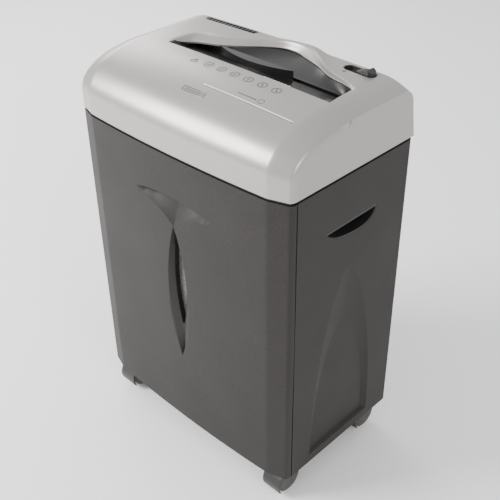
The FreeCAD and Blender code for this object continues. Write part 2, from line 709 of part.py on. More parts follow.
def cutter_discs(axis, shift):
    """Toothed cutting discs, side by side with gaps for the other shaft's discs."""
    thickness = DISC_PITCH / 2 - DISC_SIDE_GAP
    disc = rod_x(DISC_RADIUS, 0, thickness, axis).cut(hexagon(SHAFT_FLAT + RUNNING, -1, thickness + 1, axis))
    for i in range(6):
        notch = prism([(-1, axis[0] + DISC_RADIUS - 2.6, axis[1]), (-1, axis[0] + DISC_RADIUS + 1, axis[1]),
                       (-1, axis[0] + DISC_RADIUS + 1, axis[1] + 4.5)], Vector(thickness + 2, 0, 0))
        notch.rotate(Vector(0, axis[0], axis[1]), X, 60.0 * i + 20.0)
        disc = disc.cut(notch)
    return Part.makeCompound([disc.translated(Vector(x, 0, 0)) for x in disc_starts(shift)])


def comb_plates(axis, shift, side):
    """Fixed plates between the discs of one shaft, threaded on its tie rods."""
    thickness = DISC_PITCH / 2 - 3 * DISC_SIDE_GAP
    rods = [a for a in rod_axes() if (a[0] - SLOT_Y) * side > 0]
    outer = rods[0][0] + side * (ROD_RADIUS + 2.0)
    inner = axis[0] - side * 3.0
    low, high = sorted((outer, inner))
    plate = box((0, low, CUT_Z - 13.0), (thickness, high, CUT_Z + 13.0))
    plate = plate.cut(rod_x(SHAFT_FLAT + 1.8, -1, thickness + 1, axis))
    for rod in rods:
        plate = plate.cut(rod_x(ROD_RADIUS + 0.02, -1, thickness + 1, rod))
    starts = [x + DISC_SIDE_GAP for x in disc_starts(shift)]
    plates = [plate.translated(Vector(x, 0, 0)) for x in starts]
    return Part.makeCompound(plates)


def shaft_bushings():
    """Plain bearings of the two cutter shafts in the side plates."""
    bushings = []
    for axis in (FRONT_AXIS, REAR_AXIS):
        for x0 in (-PLATE_X - PLATE_THICKNESS, PLATE_X):
            sleeve = rod_x(JOURNAL_RADIUS + BUSHING_WALL - 0.02, x0, x0 + PLATE_THICKNESS, axis)
            bushings.append(sleeve.cut(rod_x(JOURNAL_RADIUS + RUNNING, x0 - 1, x0 + PLATE_THICKNESS + 1,
                                             axis)))
    return Part.makeCompound(bushings)


# ---------------------------------------------------------------- gears

def gear(teeth, module, x0, width, axis, toward, gap_first, bore):
    """Spur gear with involute flanks along X.

    toward is the axis of the gear it meshes with.  A tooth points at it, or a gap if gap_first.
    """
    pitch = teeth * module / 2
    base = pitch * math.cos(math.radians(20))
    tip, root = pitch + 0.9 * module, pitch - 1.2 * module
    half_tooth = (math.pi * module / 2 - BACKLASH / 2) / 2 / pitch
    at_pitch = math.tan(math.radians(20)) - math.radians(20)
    facing = math.atan2(toward[1] - axis[1], toward[0] - axis[0])
    facing += math.pi / teeth if gap_first else 0.0

    def flank(radius):
        """Half the tooth's angle at a radius."""
        if radius <= base:
            return half_tooth + at_pitch
        roll = math.acos(base / radius)
        return half_tooth + at_pitch - (math.tan(roll) - roll)

    start = max(base, root + 0.01)
    radii = [start + (tip - start) * i / 3 for i in range(4)]
    points = []
    for i in range(teeth):
        middle = facing + 2 * math.pi * i / teeth
        side = [(root, -flank(base))] + [(r, -flank(r)) for r in radii]
        for radius, angle in side + [(r, -a) for r, a in reversed(side)]:
            points.append((x0, axis[0] + radius * math.cos(middle + angle),
                           axis[1] + radius * math.sin(middle + angle)))
    blank = prism(points, Vector(width, 0, 0))
    return blank.cut(rod_x(bore, x0 - 1, x0 + width + 1, axis))


def sync_gear_front():
    """Synchronising gear of the driven shaft."""
    return gear(SYNC_TEETH, SYNC_MODULE, -GEAR_X1, GEAR_WIDTH, FRONT_AXIS, REAR_AXIS, False, JOURNAL_RADIUS)


def sync_gear_rear():
    """Synchronising gear of the other shaft."""
    return gear(SYNC_TEETH, SYNC_MODULE, -GEAR_X1, GEAR_WIDTH, REAR_AXIS, FRONT_AXIS, True, JOURNAL_RADIUS)


def drive_gear():
    """Last gear of the train, on the driven shaft."""
    return gear(DRIVE_TEETH, DRIVE_MODULE, GEAR_X0, GEAR_WIDTH, FRONT_AXIS, middle_axis(), False,
                JOURNAL_RADIUS)


def middle_gear():
    """Double gear between motor and drive gear."""
    small = gear(SMALL_TEETH, DRIVE_MODULE, GEAR_X0, GEAR_WIDTH + 2.0, middle_axis(), FRONT_AXIS, True,
                 PIN_RADIUS + RUNNING)
    large = gear(LARGE_TEETH, PINION_MODULE, GEAR_X2, GEAR_WIDTH * 0.7, middle_axis(), MOTOR_AXIS, False,
                 PIN_RADIUS + RUNNING)
    return small.fuse(large).removeSplitter()


def middle_pin():
    """Pin of the middle gear, with a head that keeps the gear on."""
    end = GEAR_X2 + GEAR_WIDTH * 0.7 + 0.5
    pin = rod_x(PIN_RADIUS, PLATE_X, end + 2.0, middle_axis())
    return pin.fuse(rod_x(PIN_RADIUS + 2.0, end, end + 2.0, middle_axis())).removeSplitter()


def motor_pinion():
    """Pinion on the motor shaft."""
    return gear(PINION_TEETH, PINION_MODULE, GEAR_X2 - 1.0, GEAR_WIDTH * 0.7 + 2.0, MOTOR_AXIS,
                middle_axis(), True,
                MOTOR_SHAFT)


# ---------------------------------------------------------------- motor and electrics

def motor_screw_axes():
    """Axes of the two screws that hold the motor to its plate."""
    return [(MOTOR_AXIS[0] + 16.0 * math.cos(a), MOTOR_AXIS[1] + 16.0 * math.sin(a))
            for a in (math.radians(70), math.radians(250))]


def motor_can():
    """Round motor case with a bearing hole in each end and screw holes in the right-hand end."""
    x1 = PLATE_X
    x0 = x1 - MOTOR_LENGTH
    can = rod_x(MOTOR_RADIUS, x0, x1, MOTOR_AXIS).cut(rod_x(MOTOR_RADIUS - 3.0, x0 + 4, x1 - 4, MOTOR_AXIS))
    can = can.cut(rod_x(MOTOR_SHAFT + RUNNING, x0 - 1, x1 + 1, MOTOR_AXIS))
    for axis in motor_screw_axes():
        can = can.cut(rod_x(1.9, x1 - 5, x1 + 1, axis))
    return can


def motor_rotor():
    """Rotor pack on its shaft."""
    x1, x0 = PLATE_X, PLATE_X - MOTOR_LENGTH
    shaft = rod_x(MOTOR_SHAFT, x0 - 12.0, GEAR_X2 + GEAR_WIDTH * 0.7 + 2.0, MOTOR_AXIS)
    return shaft.fuse(rod_x(MOTOR_RADIUS - 7.0, x0 + 14.0, x1 - 14.0, MOTOR_AXIS)).removeSplitter()


def motor_fan():
    """Cooling fan at the left-hand end of the motor."""
    x0 = PLATE_X - MOTOR_LENGTH - 11.0
    hub = rod_x(8.0, x0, x0 + 8.0, MOTOR_AXIS)
    blades = []
    for i in range(7):
        blade = box((x0 + 1.0, MOTOR_AXIS[0] + 6.0, MOTOR_AXIS[1] - 0.8),
                    (x0 + 7.0, MOTOR_AXIS[0] + 23.0, MOTOR_AXIS[1] + 0.8))
        blade.rotate(Vector(x0 + 4.0, MOTOR_AXIS[0], MOTOR_AXIS[1]), Y, 25.0)
        blade.rotate(Vector(x0, MOTOR_AXIS[0], MOTOR_AXIS[1]), X, 360.0 / 7 * i)
        blades.append(blade)
    return fuse([hub] + blades).cut(rod_x(MOTOR_SHAFT, x0 - 3, x0 + 12.0, MOTOR_AXIS))


def motor_screws():
    """Screws through the plate into the motor case."""
    x = PLATE_X
    screws = [rod_x(1.85, x - 4.0, x + PLATE_THICKNESS, a).fuse(
        rod_x(3.4, x + PLATE_THICKNESS, x + PLATE_THICKNESS + 2.2,
              a)).removeSplitter() for a in motor_screw_axes()]
    return Part.makeCompound(screws)


def paper_guide(side):
    """Plate that leads paper from the slot to the cutters, on one side of the paper."""
    near = SLOT_Y + side * (SLOT_WIDTH / 2 + 0.5)
    far = near + side * 1.5
    axis_y = SLOT_Y + side * AXLE_SPACING / 2
    clear = math.sqrt(DISC_RADIUS ** 2 - (abs(axis_y - far)) ** 2)
    low, high = sorted((near, far))
    half = CUT_LENGTH / 2 + 2.0
    return box((-half, low, CUT_Z + clear + 1.5), (half, high, HEAD_TOP - THROAT_DROP - SKIN - 0.3))


def control_board():
    """Printed circuit board on the left of the pan."""
    x0 = -pan_half_x() + 8.0
    return box((x0, FRONT_BACK_Y + 12.0, PAN_FLOOR + 6.0),
               (x0 + 78.0, FRONT_BACK_Y + 62.0, PAN_FLOOR + 7.6)).cut(
        rod_z(1.8, PAN_FLOOR, PAN_FLOOR + 12.0, x0 + 5.0, FRONT_BACK_Y + 57.0))


def board_parts():
    """Relay, capacitor, transformer and spacers of the board."""
    x0, y0, z0 = -pan_half_x() + 8.0, FRONT_BACK_Y + 12.0, PAN_FLOOR + 7.6
    parts = [box((x0 + 46, y0 + 20, z0), (x0 + 70, y0 + 44, z0 + 20)),
             box((x0 + 6, y0 + 22, z0), (x0 + 25, y0 + 38, z0 + 15)),
             rod_z(6.0, z0, z0 + 22, x0 + 35, y0 + 34)]
    parts += [rod_z(2.5, PAN_FLOOR, PAN_FLOOR + 6.0, x0 + dx, y0 + dy) for dx in (6, 70) for dy in (22, 40)]
    return Part.makeCompound(parts)


def paper_sensors():
    """Light barrier across the slot: one unit on each guide."""
    z0 = HEAD_TOP - THROAT_DROP - SKIN - 14.0
    units = []
    for side in (-1, 1):
        near = SLOT_Y + side * (SLOT_WIDTH / 2 + 2.0)
        low, high = sorted((near, near + side * 6.0))
        units.append(box((SLOT_X - 6.0, low, z0), (SLOT_X + 6.0, high, z0 + 10.0)))
    return Part.makeCompound(units)


def interlock_housing():
    """Safety switch that the shut bin presses."""
    front = FRONT_BACK_Y + 4.0 + SKIN
    body = box((PLUNGER_X - 8.0, front, PAN_FLOOR), (PLUNGER_X + 8.0, front + 4.9, PLUNGER_Z + 9.0))
    return body.cut(rod_y(PLUNGER_RADIUS + RUNNING, front - 1, front + 6.0, PLUNGER_X, PLUNGER_Z))


def interlock_plunger():
    """Plunger that follows the bin's striker for its first few millimetres."""
    front = FRONT_BACK_Y + SLIDE_GAP
    stem = rod_y(PLUNGER_RADIUS, front, front + 4.0 + SKIN + 9.0, PLUNGER_X, PLUNGER_Z)
    collar = front + 4.0 + SKIN + 9.0
    return stem.fuse(rod_y(PLUNGER_RADIUS + 1.5, collar, collar + 1.5, PLUNGER_X,
                           PLUNGER_Z)).removeSplitter()


# ---------------------------------------------------------------- cabinet

def base_plate():
    """Floor of the cabinet, with a socket for each caster stem."""
    plate = plan_prism(SKIN + FIT, BASE_TOP - SKIN, BASE_TOP)
    for x, y in stem_places():
        plate = plate.fuse(rod_z(STEM_RADIUS + 4.5, BODY_BOTTOM, BASE_TOP, x, y))
    for x, y in stem_places():
        plate = plate.cut(rod_z(STEM_RADIUS + RUNNING, BODY_BOTTOM - 1, BASE_TOP - 1.5, x, y))
    return plate.removeSplitter()


def arch_wire(x, half_width, height, foot):
    """Pointed arch on a side wall, in the plane at x."""
    y0, z0 = ARCH_MIDDLE, BODY_BOTTOM + foot
    count = 10
    left = []
    for i in range(count + 1):
        rise = math.sin(math.pi / 2 * i / count)
        left.append((x, y0 - half_width * (1 - rise ** 2) ** 0.68, z0 + height * rise))
    right = [(x, 2 * y0 - p[1], p[2]) for p in reversed(left)]
    return Part.Wire([curve(left), curve(right),
                      Part.LineSegment(Vector(*right[-1]), Vector(*left[0])).toShape()])


def arch_tool(grow):
    """Recess that sinks from the outer arch to a smaller flat one, grown by a wall."""
    outer = arch_wire(SIDE_X + 0.01 * (1 if not grow else -1), ARCH_BASE / 2 + grow, ARCH_HEIGHT + grow,
                      ARCH_FOOT - grow)
    inner = arch_wire(SIDE_X - ARCH_DEPTH - grow, ARCH_BASE / 2 - ARCH_BORDER + grow,
                      ARCH_INNER_HEIGHT + grow, ARCH_FOOT + 3.0 - grow)
    return Part.makeLoft([outer, inner], True, True)


def cup_face(x, grow):
    """Half-moon face of a carrying recess, deeper towards the rear, in the plane at x."""
    shape = [(0.0, 0.0), (0.14, 0.51), (0.42, 0.9), (0.72, 1.0), (0.93, 0.62), (1.0, 0.0)]
    front, top = CUP_MIDDLE - CUP_LENGTH / 2, SEAM - CUP_DROP
    length, height = CUP_LENGTH + 2 * grow, CUP_HEIGHT + 2 * grow
    points = [(x, front - grow + length * along, top + grow - height * down) for along, down in shape]
    return Part.Face(Part.Wire([curve(points),
                                Part.LineSegment(Vector(*points[-1]), Vector(*points[0])).toShape()]))


def side_panel_right():
    """Side wall with the arch recess and the opening for the carrying cup."""
    y0, y1 = FRONT_CORNER_Y + PANEL_GAP, REAR_SEAM_Y
    panel = box((SIDE_X - SKIN, y0, BODY_BOTTOM), (SIDE_X, y1, SEAM - 0.2))
    lower = arch_tool(SKIN).common(box((SIDE_X - 40, y0, BASE_TOP + 0.3), (SIDE_X - 0.1, y1, SEAM - 10.0)))
    panel = panel.fuse(lower)
    panel = panel.cut(arch_tool(0.0))
    for z in panel_screw_heights():
        panel = panel.fuse(box((SIDE_X - 14.0, y1 - 14.0, z - 6.0), (SIDE_X - 1.0, y1, z + 6.0)))
    for z in panel_screw_heights():
        panel = panel.cut(rod_y(1.6, y1 - 12.0, y1 + 1, SIDE_X - 8.0, z))
    cup = cup_face(SIDE_X - 30.0, 0.0).extrude(Vector(31.0, 0, 0))
    return panel.cut(cup).removeSplitter()


def handle_cup_right():
    """Black finger cup in the side wall."""
    outer = cup_face(SIDE_X - CUP_DEPTH, -FIT).extrude(Vector(CUP_DEPTH - 0.3, 0, 0))
    inner = cup_face(SIDE_X - CUP_DEPTH + 2.0, -FIT - 2.0).extrude(Vector(CUP_DEPTH, 0, 0))
    return outer.cut(inner)


def panel_screw_heights():
    """Heights of the screws that hold the back panel."""
    return (BODY_BOTTOM + 40.0, SEAM - 60.0)


def back_panel():
    """Rear wall that wraps a little round both sides."""
    wall = plan_prism(0.0, BODY_BOTTOM, SEAM - 0.2).cut(plan_prism(SKIN, BODY_BOTTOM - 1, SEAM + 1))
    wall = wall.common(box((-SIDE_X, REAR_SEAM_Y + FIT, BODY_BOTTOM), (SIDE_X, REAR_Y, SEAM)))
    for x in (-1, 1):
        for z in panel_screw_heights():
            wall = wall.fuse(rod_y(6.0, REAR_Y - 10.0, REAR_Y - 1.0, x * (SIDE_X - 8.0), z).common(
                plan_prism(1.0, BODY_BOTTOM, SEAM)))
            wall = wall.cut(rod_y(2.0, REAR_Y - 12.0, REAR_Y + 1, x * (SIDE_X - 8.0), z))
            wall = wall.cut(rod_y(4.0, REAR_Y - 3.0, REAR_Y + 1, x * (SIDE_X - 8.0), z))
    z = SEAM - GLAND_DROP
    wall = wall.cut(rod_y(gland_radius() + FIT, REAR_Y - 8.0, REAR_Y + 1, GLAND_X, z))
    wall = wall.cut(rod_y(gland_radius() + 3.0 + FIT, REAR_Y - 1.6, REAR_Y + 1, GLAND_X, z))
    return wall.removeSplitter()


def panel_screws():
    """Screws that hold the back panel to the side panels."""
    screws = []
    for x in (-1, 1):
        for z in panel_screw_heights():
            px = x * (SIDE_X - 8.0)
            screws.append(rod_y(3.6, REAR_Y - 3.0, REAR_Y - 0.6, px, z).fuse(
                rod_y(1.5, REAR_SEAM_Y - 10.0, REAR_Y - 3.0, px, z)).removeSplitter())
    return Part.makeCompound(screws)


def gland_radius():
    """Outer radius of the cord gland's body."""
    return CORD_RADIUS + 2.5


def cord_gland():
    """Strain-relief gland through the back panel and the pan."""
    z = SEAM - GLAND_DROP
    body = rod_y(gland_radius(), REAR_Y - 13.0, REAR_Y - 0.1, GLAND_X, z)
    flange = rod_y(gland_radius() + 3.0, REAR_Y - 1.6, REAR_Y - 0.1, GLAND_X, z)
    return body.fuse(flange).cut(rod_y(CORD_RADIUS, REAR_Y - 20.0, REAR_Y + 1, GLAND_X, z)).removeSplitter()


# ---------------------------------------------------------------- bin

def tub_sizes():
    """Half width, front, rear, bottom and top of the waste tub."""
    return (SIDE_X - TUB_SIDE_GAP, FRONT_BACK_Y + 0.2, REAR_Y - TUB_REAR_GAP,
            BASE_TOP + RAIL_HEIGHT + SLIDE_GAP, PAN_BOTTOM - 4.0)


def bin_rail_right():
    """Ledge on the cabinet floor that the tub slides on."""
    half, front, rear, bottom, _ = tub_sizes()
    foot = box((half - 10.0, FRONT_CORNER_Y + 4.0, BASE_TOP), (half + 6.0, rear, BASE_TOP + RAIL_HEIGHT))
    fence = box((half + SLIDE_GAP + 0.6, FRONT_CORNER_Y + 4.0, BASE_TOP), (half + 6.0, rear, bottom + 10.0))
    return foot.fuse(fence).removeSplitter()


def leaf_wire(y, top, length, half_width):
    """Leaf outline of two arcs with points at top and bottom, in the plane at y."""
    high, low = SEAM - top, SEAM - top - length
    middle = (high + low) / 2
    return Part.Wire([Part.Arc(Vector(0, y, high), Vector(half_width, y, middle),
                               Vector(0, y, low)).toShape(),
                      Part.Arc(Vector(0, y, low), Vector(-half_width, y, middle),
                               Vector(0, y, high)).toShape()])


def leaf_tool(grow):
    """Sloping leaf recess and the straight opening behind it, grown by a wall."""
    start = FRONT_Y - 1.0
    funnel = Part.makeLoft([leaf_wire(start, LEAF_TOP - grow, LEAF_LENGTH + 2 * grow,
                                      LEAF_HALF_WIDTH + grow + 1.0),
                            leaf_wire(FRONT_Y + LEAF_DEPTH, PANE_TOP - grow, PANE_LENGTH + 2 * grow,
                                      PANE_HALF_WIDTH + grow)], True, True)
    straight = Part.Face(leaf_wire(FRONT_Y + LEAF_DEPTH - 0.1, PANE_TOP - grow, PANE_LENGTH + 2 * grow,
                                   PANE_HALF_WIDTH + grow)).extrude(Vector(0, FRONT_THICKNESS + 30.0, 0))
    return funnel.fuse(straight)


def scoop_tool(grow):
    """Gull-shaped finger scoop: undercut along its top edge, running out at its lower point."""
    half = SCOOP_WIDTH / 2 + grow
    y = FRONT_Y - 4.0
    tip = SEAM - SCOOP_TIP
    top_edge = Part.Arc(Vector(-half, y, tip), Vector(0, y, SEAM - SCOOP_TOP + grow),
                        Vector(half, y, tip)).toShape()
    lower = []
    for i in range(9):
        share = i / 8
        dip = 4.0 + (SCOOP_LOW - SCOOP_TIP - 4.0) * share ** 2.4
        lower.append((half * (1 - share), y, tip - (dip + grow) * min(1.0, 4 * share)))
    right = curve(lower)
    left = curve([(-p[0], p[1], p[2]) for p in reversed(lower)])
    face = Part.Face(Part.Wire([top_edge, right, left]))
    block = face.extrude(Vector(0, 4.0 + FRONT_BOW + SCOOP_DEPTH + grow, 0))
    deep = FRONT_Y + SCOOP_DEPTH + FRONT_BOW + grow
    keep = prism([(-half - 5, FRONT_Y - 5, SEAM - SCOOP_TOP + 10), (-half - 5, deep, SEAM - SCOOP_TOP + 10),
                  (-half - 5, deep, SEAM - SCOOP_TIP - 6.0),
                  (-half - 5, FRONT_Y - 5, SEAM - SCOOP_LOW - 14.0 - grow)],
                 Vector(2 * half + 10, 0, 0))
    return block.common(keep)


def panel_boss_places():
    """Where the tub is screwed to the front panel."""
    half = SIDE_X - TUB_SIDE_GAP - 14.0
    return [(sx * half, z) for sx in (-1, 1) for z in (BODY_BOTTOM + 60.0, SEAM - 130.0)]


def bin_front_panel():
    """Bowed front of the bin, with the scoop, the leaf recess and bosses for the tub."""
    low, high = BODY_BOTTOM, SEAM - PANEL_GAP
    slab = plan_prism(0.0, low, high).common(
        box((-SIDE_X, FRONT_Y, low), (SIDE_X, FRONT_CORNER_Y, high)))
    pocket = plan_prism(SKIN, low - 1, high - SKIN)
    shell = slab.cut(pocket)
    back = box((-SIDE_X + SKIN + 2, FRONT_Y, low - 1), (SIDE_X - SKIN - 2, FRONT_BACK_Y, high))
    walls = [scoop_tool(SKIN).common(back).common(plan_prism(1.0, low, high)),
             leaf_tool(SKIN).common(back).common(plan_prism(1.0, low, high))]
    for x, z in panel_boss_places():
        walls.append(rod_y(5.0, FRONT_Y, FRONT_BACK_Y, x, z).common(plan_prism(1.0, low, high)))
    walls.append(box((PLUNGER_X - 4, FRONT_Y, PLUNGER_Z - 6),
                     (PLUNGER_X + 4, FRONT_BACK_Y, PLUNGER_Z + 6)).common(
        plan_prism(1.0, low, high)))
    for wall in walls:
        shell = shell.fuse(wall)
    shell = shell.cut(scoop_tool(0.0)).cut(leaf_tool(0.0)).cut(pane_box(FIT, FRONT_THICKNESS))
    for x, z in panel_boss_places():
        shell = shell.cut(rod_y(1.6, FRONT_BACK_Y - 9.0, FRONT_BACK_Y + 1, x, z))
    return shell.removeSplitter()


def pane_box(grow, behind=2.0):
    """Rectangle of the window pane, grown by a clearance and reaching some way behind its front."""
    half = PANE_HALF_WIDTH + SKIN
    high, low = SEAM - PANE_TOP + SKIN, SEAM - PANE_TOP - PANE_LENGTH - SKIN
    y0 = FRONT_Y + PANE_SETBACK
    return box((-half - grow, y0 - grow, low - grow), (half + grow, y0 + behind + grow, high + grow))


def bin_window():
    """Smoked pane behind the leaf opening."""
    return pane_box(0.0)


def bin_tub():
    """Open-topped waste tub with a flanged rim and a sight opening behind the window."""
    half, front, rear, bottom, top = tub_sizes()
    tub = box((-half, front, bottom), (half, rear, top))
    upright = [e for e in tub.Edges if abs(e.Vertexes[0].Z - e.Vertexes[1].Z) > 10 and e.Vertexes[0].Y > 0]
    tub = tub.makeFillet(16.0, upright)
    inner = box((-half + TUB_WALL, front + TUB_WALL, bottom + TUB_WALL),
                (half - TUB_WALL, rear - TUB_WALL, top + 1))
    upright = [e for e in inner.Edges if abs(e.Vertexes[0].Z - e.Vertexes[1].Z) > 10 and e.Vertexes[0].Y > 0]
    tub = tub.cut(inner.makeFillet(14.0, upright))
    tub = tub.cut(Part.Face(leaf_wire(front - 1, PANE_TOP, PANE_LENGTH,
                                      PANE_HALF_WIDTH)).extrude(Vector(0, 5, 0)))
    for x, z in panel_boss_places():
        tub = tub.cut(rod_y(2.0, front - 1, front + TUB_WALL + 1, x, z))
    return tub


def bin_screws():
    """Screws from inside the tub into the front panel."""
    front = tub_sizes()[1]
    screws = [rod_y(3.6, front + TUB_WALL, front + TUB_WALL + 2.2, x, z).fuse(
        rod_y(1.5, front - 7.0, front + TUB_WALL, x, z)).removeSplitter() for x, z in panel_boss_places()]
    return Part.makeCompound(screws)


# ---------------------------------------------------------------- casters

def stem_places():
    """Plan position of each caster stem: front left, front right, rear left, rear right."""
    x = SIDE_X - STEM_INSET
    return [(sx * x, y - CASTER_TRAIL) for y in (FRONT_AXLE_Y, REAR_AXLE_Y) for sx in (-1, 1)]


def caster_hood(x, y):
    """Hood over a pair of wheels, with its web between them and its stem."""
    axle = (y + CASTER_TRAIL, WHEEL_RADIUS)
    half = WHEEL_SPACING / 2 + WHEEL_WIDTH - 1.0
    crown = WHEEL_RADIUS + 4.0
    shell = rod_x(crown, x - half, x + half, axle).cut(rod_x(WHEEL_RADIUS + 1.5, x - half - 1,
                                                             x + half + 1, axle))
    front = axle[0] - crown
    keep = prism([(x - half, front - 1, 7.0), (x - half, front + 4.2, 7.0),
                  (x - half, axle[0] - 12.0, WHEEL_RADIUS),
                  (x - half, axle[0] + crown + 1, WHEEL_RADIUS + 8.0), (x - half, axle[0] + crown + 1, 60.0),
                  (x - half, front - 1, 60.0)], Vector(2 * half, 0, 0))
    shell = shell.common(keep)
    web_half = WHEEL_SPACING / 2 - 0.6
    web = rod_x(crown - 0.5, x - web_half, x + web_half, axle).common(
        prism([(x - half, front, 5.0), (x - half, axle[0] + 6.0, 5.0),
               (x - half, axle[0] + 14.0, WHEEL_RADIUS),
               (x - half, axle[0] + crown, WHEEL_RADIUS + 6.0), (x - half, axle[0] + crown, 60.0),
               (x - half, front, 60.0)], Vector(2 * half, 0, 0)))
    neck_radius = min(STEM_RADIUS + 4.0, half)
    neck = rod_z(neck_radius, WHEEL_RADIUS + 12.0, CASTER_GAP - 1.0, x, y)
    neck = neck.cut(rod_x(WHEEL_RADIUS + 1.5, x - half - 1, x - web_half, axle))
    neck = neck.cut(rod_x(WHEEL_RADIUS + 1.5, x + web_half, x + half + 1, axle))
    hood = fuse([shell, web, neck, rod_z(STEM_RADIUS, CASTER_GAP - 2.0, BASE_TOP - 2.0, x, y)])
    return hood.cut(rod_x(AXLE_RADIUS + RUNNING, x - half - 1, x + half + 1, axle))


def caster_wheels(x, y):
    """Pair of wheels with domed outer faces, pressed on their axle."""
    axis_y = y + CASTER_TRAIL
    inner = WHEEL_SPACING / 2
    rim, flank, face = WHEEL_RADIUS, inner + WHEEL_WIDTH - DOME_RISE, inner + WHEEL_WIDTH
    wheels = [rod_x(AXLE_RADIUS, x - face + 0.4, x + face - 0.4, (axis_y, rim))]
    corners = [Vector(face, 0, AXLE_RADIUS), Vector(inner, 0, AXLE_RADIUS), Vector(inner, 0, rim - 1.0),
               Vector(inner + 1.0, 0, rim), Vector(flank, 0, rim)]
    outline = [Part.LineSegment(a, b).toShape() for a, b in zip(corners, corners[1:])]
    outline.append(Part.Arc(corners[-1], Vector(flank + 0.72 * DOME_RISE, 0, rim * 0.72),
                            corners[0]).toShape())
    wheel = Part.Face(Part.Wire(outline)).revolve(Vector(0, 0, 0), X, 360)
    for shape in (wheel, mirrored(wheel)):
        wheels.append(shape.translated(Vector(x, axis_y, rim)))
    return Part.makeCompound(wheels)


# ---------------------------------------------------------------- all nodes

def cutting_block():
    """Nodes of the cutters, gears and motor, moved along X to sit under the slot."""
    makers = [cutter_plate_left, cutter_plate_right, tie_rods, cutter_shaft_front, cutter_shaft_rear,
              shaft_bushings, sync_gear_front, sync_gear_rear, drive_gear, middle_gear, middle_pin,
              motor_pinion,
              motor_can, motor_rotor, motor_fan, motor_screws]
    nodes = {maker.__name__: maker() for maker in makers}
    nodes["cutter_discs_front"] = cutter_discs(FRONT_AXIS, 0)
    nodes["cutter_discs_rear"] = cutter_discs(REAR_AXIS, 1)
    nodes["comb_plates_front"] = comb_plates(FRONT_AXIS, 1, -1)
    nodes["comb_plates_rear"] = comb_plates(REAR_AXIS, 0, 1)
    nodes["paper_guide_front"] = paper_guide(-1)
    nodes["paper_guide_rear"] = paper_guide(1)
    return {name: shape.translated(Vector(SLOT_X, 0, 0)) for name, shape in nodes.items()}


def build():
    """Return every node by name."""
    nodes = {}
    for maker in (side_panel_right, handle_cup_right, bin_rail_right):
        nodes[maker.__name__] = maker()
        nodes[maker.__name__.replace("right", "left")] = mirrored(nodes[maker.__name__])
    for maker in (base_plate, back_panel, panel_screws, cord_gland, bin_front_panel, bin_window,
                  bin_tub, bin_screws,
                  top_cover, throat_insert, disc_guard, vent_grille, switch_bezel, switch_knob, slide_switch,
                  status_lens, name_plate, head_pan, cover_screws, control_board, board_parts, paper_sensors,
                  interlock_housing, interlock_plunger):
        nodes[maker.__name__] = maker()
    nodes.update(cutting_block())
    for corner, (x, y) in zip(("front_left", "front_right", "rear_left", "rear_right"), stem_places()):
        nodes["caster_hood_" + corner] = caster_hood(x, y)
        nodes["caster_wheels_" + corner] = caster_wheels(x, y)
    return nodes


def main():
    """Write one STEP file per node."""
    os.makedirs("parts", exist_ok=True)
    for name, shape in build().items():
        for solid in shape.Solids:
            if not solid.isValid():
                print("not valid:", name)
        print(name, len(shape.Solids), round(shape.Volume / 1000, 1))
        shape.exportStep(os.path.join("parts", name + ".step"))


if __name__ == "__main__":
    main()
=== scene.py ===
"""Looks of a cross-cut paper shredder with a pull-out bin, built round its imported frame.

Shapes are worked out in millimetres in the object's own frame, +Z up and the front towards
-Y, and go into the meshes in metres.
"""
import json
import logging
import math
from dataclasses import dataclass, field
from enum import Enum

import bmesh
import bpy
import numpy as np
from mathutils import Matrix, Vector


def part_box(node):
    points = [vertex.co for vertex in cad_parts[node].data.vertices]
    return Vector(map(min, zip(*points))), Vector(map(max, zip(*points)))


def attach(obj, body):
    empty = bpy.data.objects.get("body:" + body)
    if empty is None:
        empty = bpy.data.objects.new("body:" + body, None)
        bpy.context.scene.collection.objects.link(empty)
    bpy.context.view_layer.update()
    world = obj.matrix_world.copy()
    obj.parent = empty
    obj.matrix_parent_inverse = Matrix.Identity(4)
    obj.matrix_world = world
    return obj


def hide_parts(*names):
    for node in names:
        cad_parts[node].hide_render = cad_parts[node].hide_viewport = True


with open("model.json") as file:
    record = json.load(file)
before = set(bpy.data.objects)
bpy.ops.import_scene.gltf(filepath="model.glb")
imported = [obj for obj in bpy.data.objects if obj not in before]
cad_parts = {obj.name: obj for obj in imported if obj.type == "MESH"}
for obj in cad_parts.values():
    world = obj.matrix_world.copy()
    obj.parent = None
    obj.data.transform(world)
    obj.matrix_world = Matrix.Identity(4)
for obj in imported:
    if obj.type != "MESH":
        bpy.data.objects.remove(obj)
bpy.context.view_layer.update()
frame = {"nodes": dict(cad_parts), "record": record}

MM = 0.001
log = logging.getLogger("shredder")


# ------------------------------------------------------------------ finishes

class Grain(Enum):
    """How a finish breaks up: its colour, its gloss and its surface."""

    SMOOTH = "smooth"
    SPECKLE = "speckle"
    FLAKE = "flake"
    BRUSHED = "brushed"


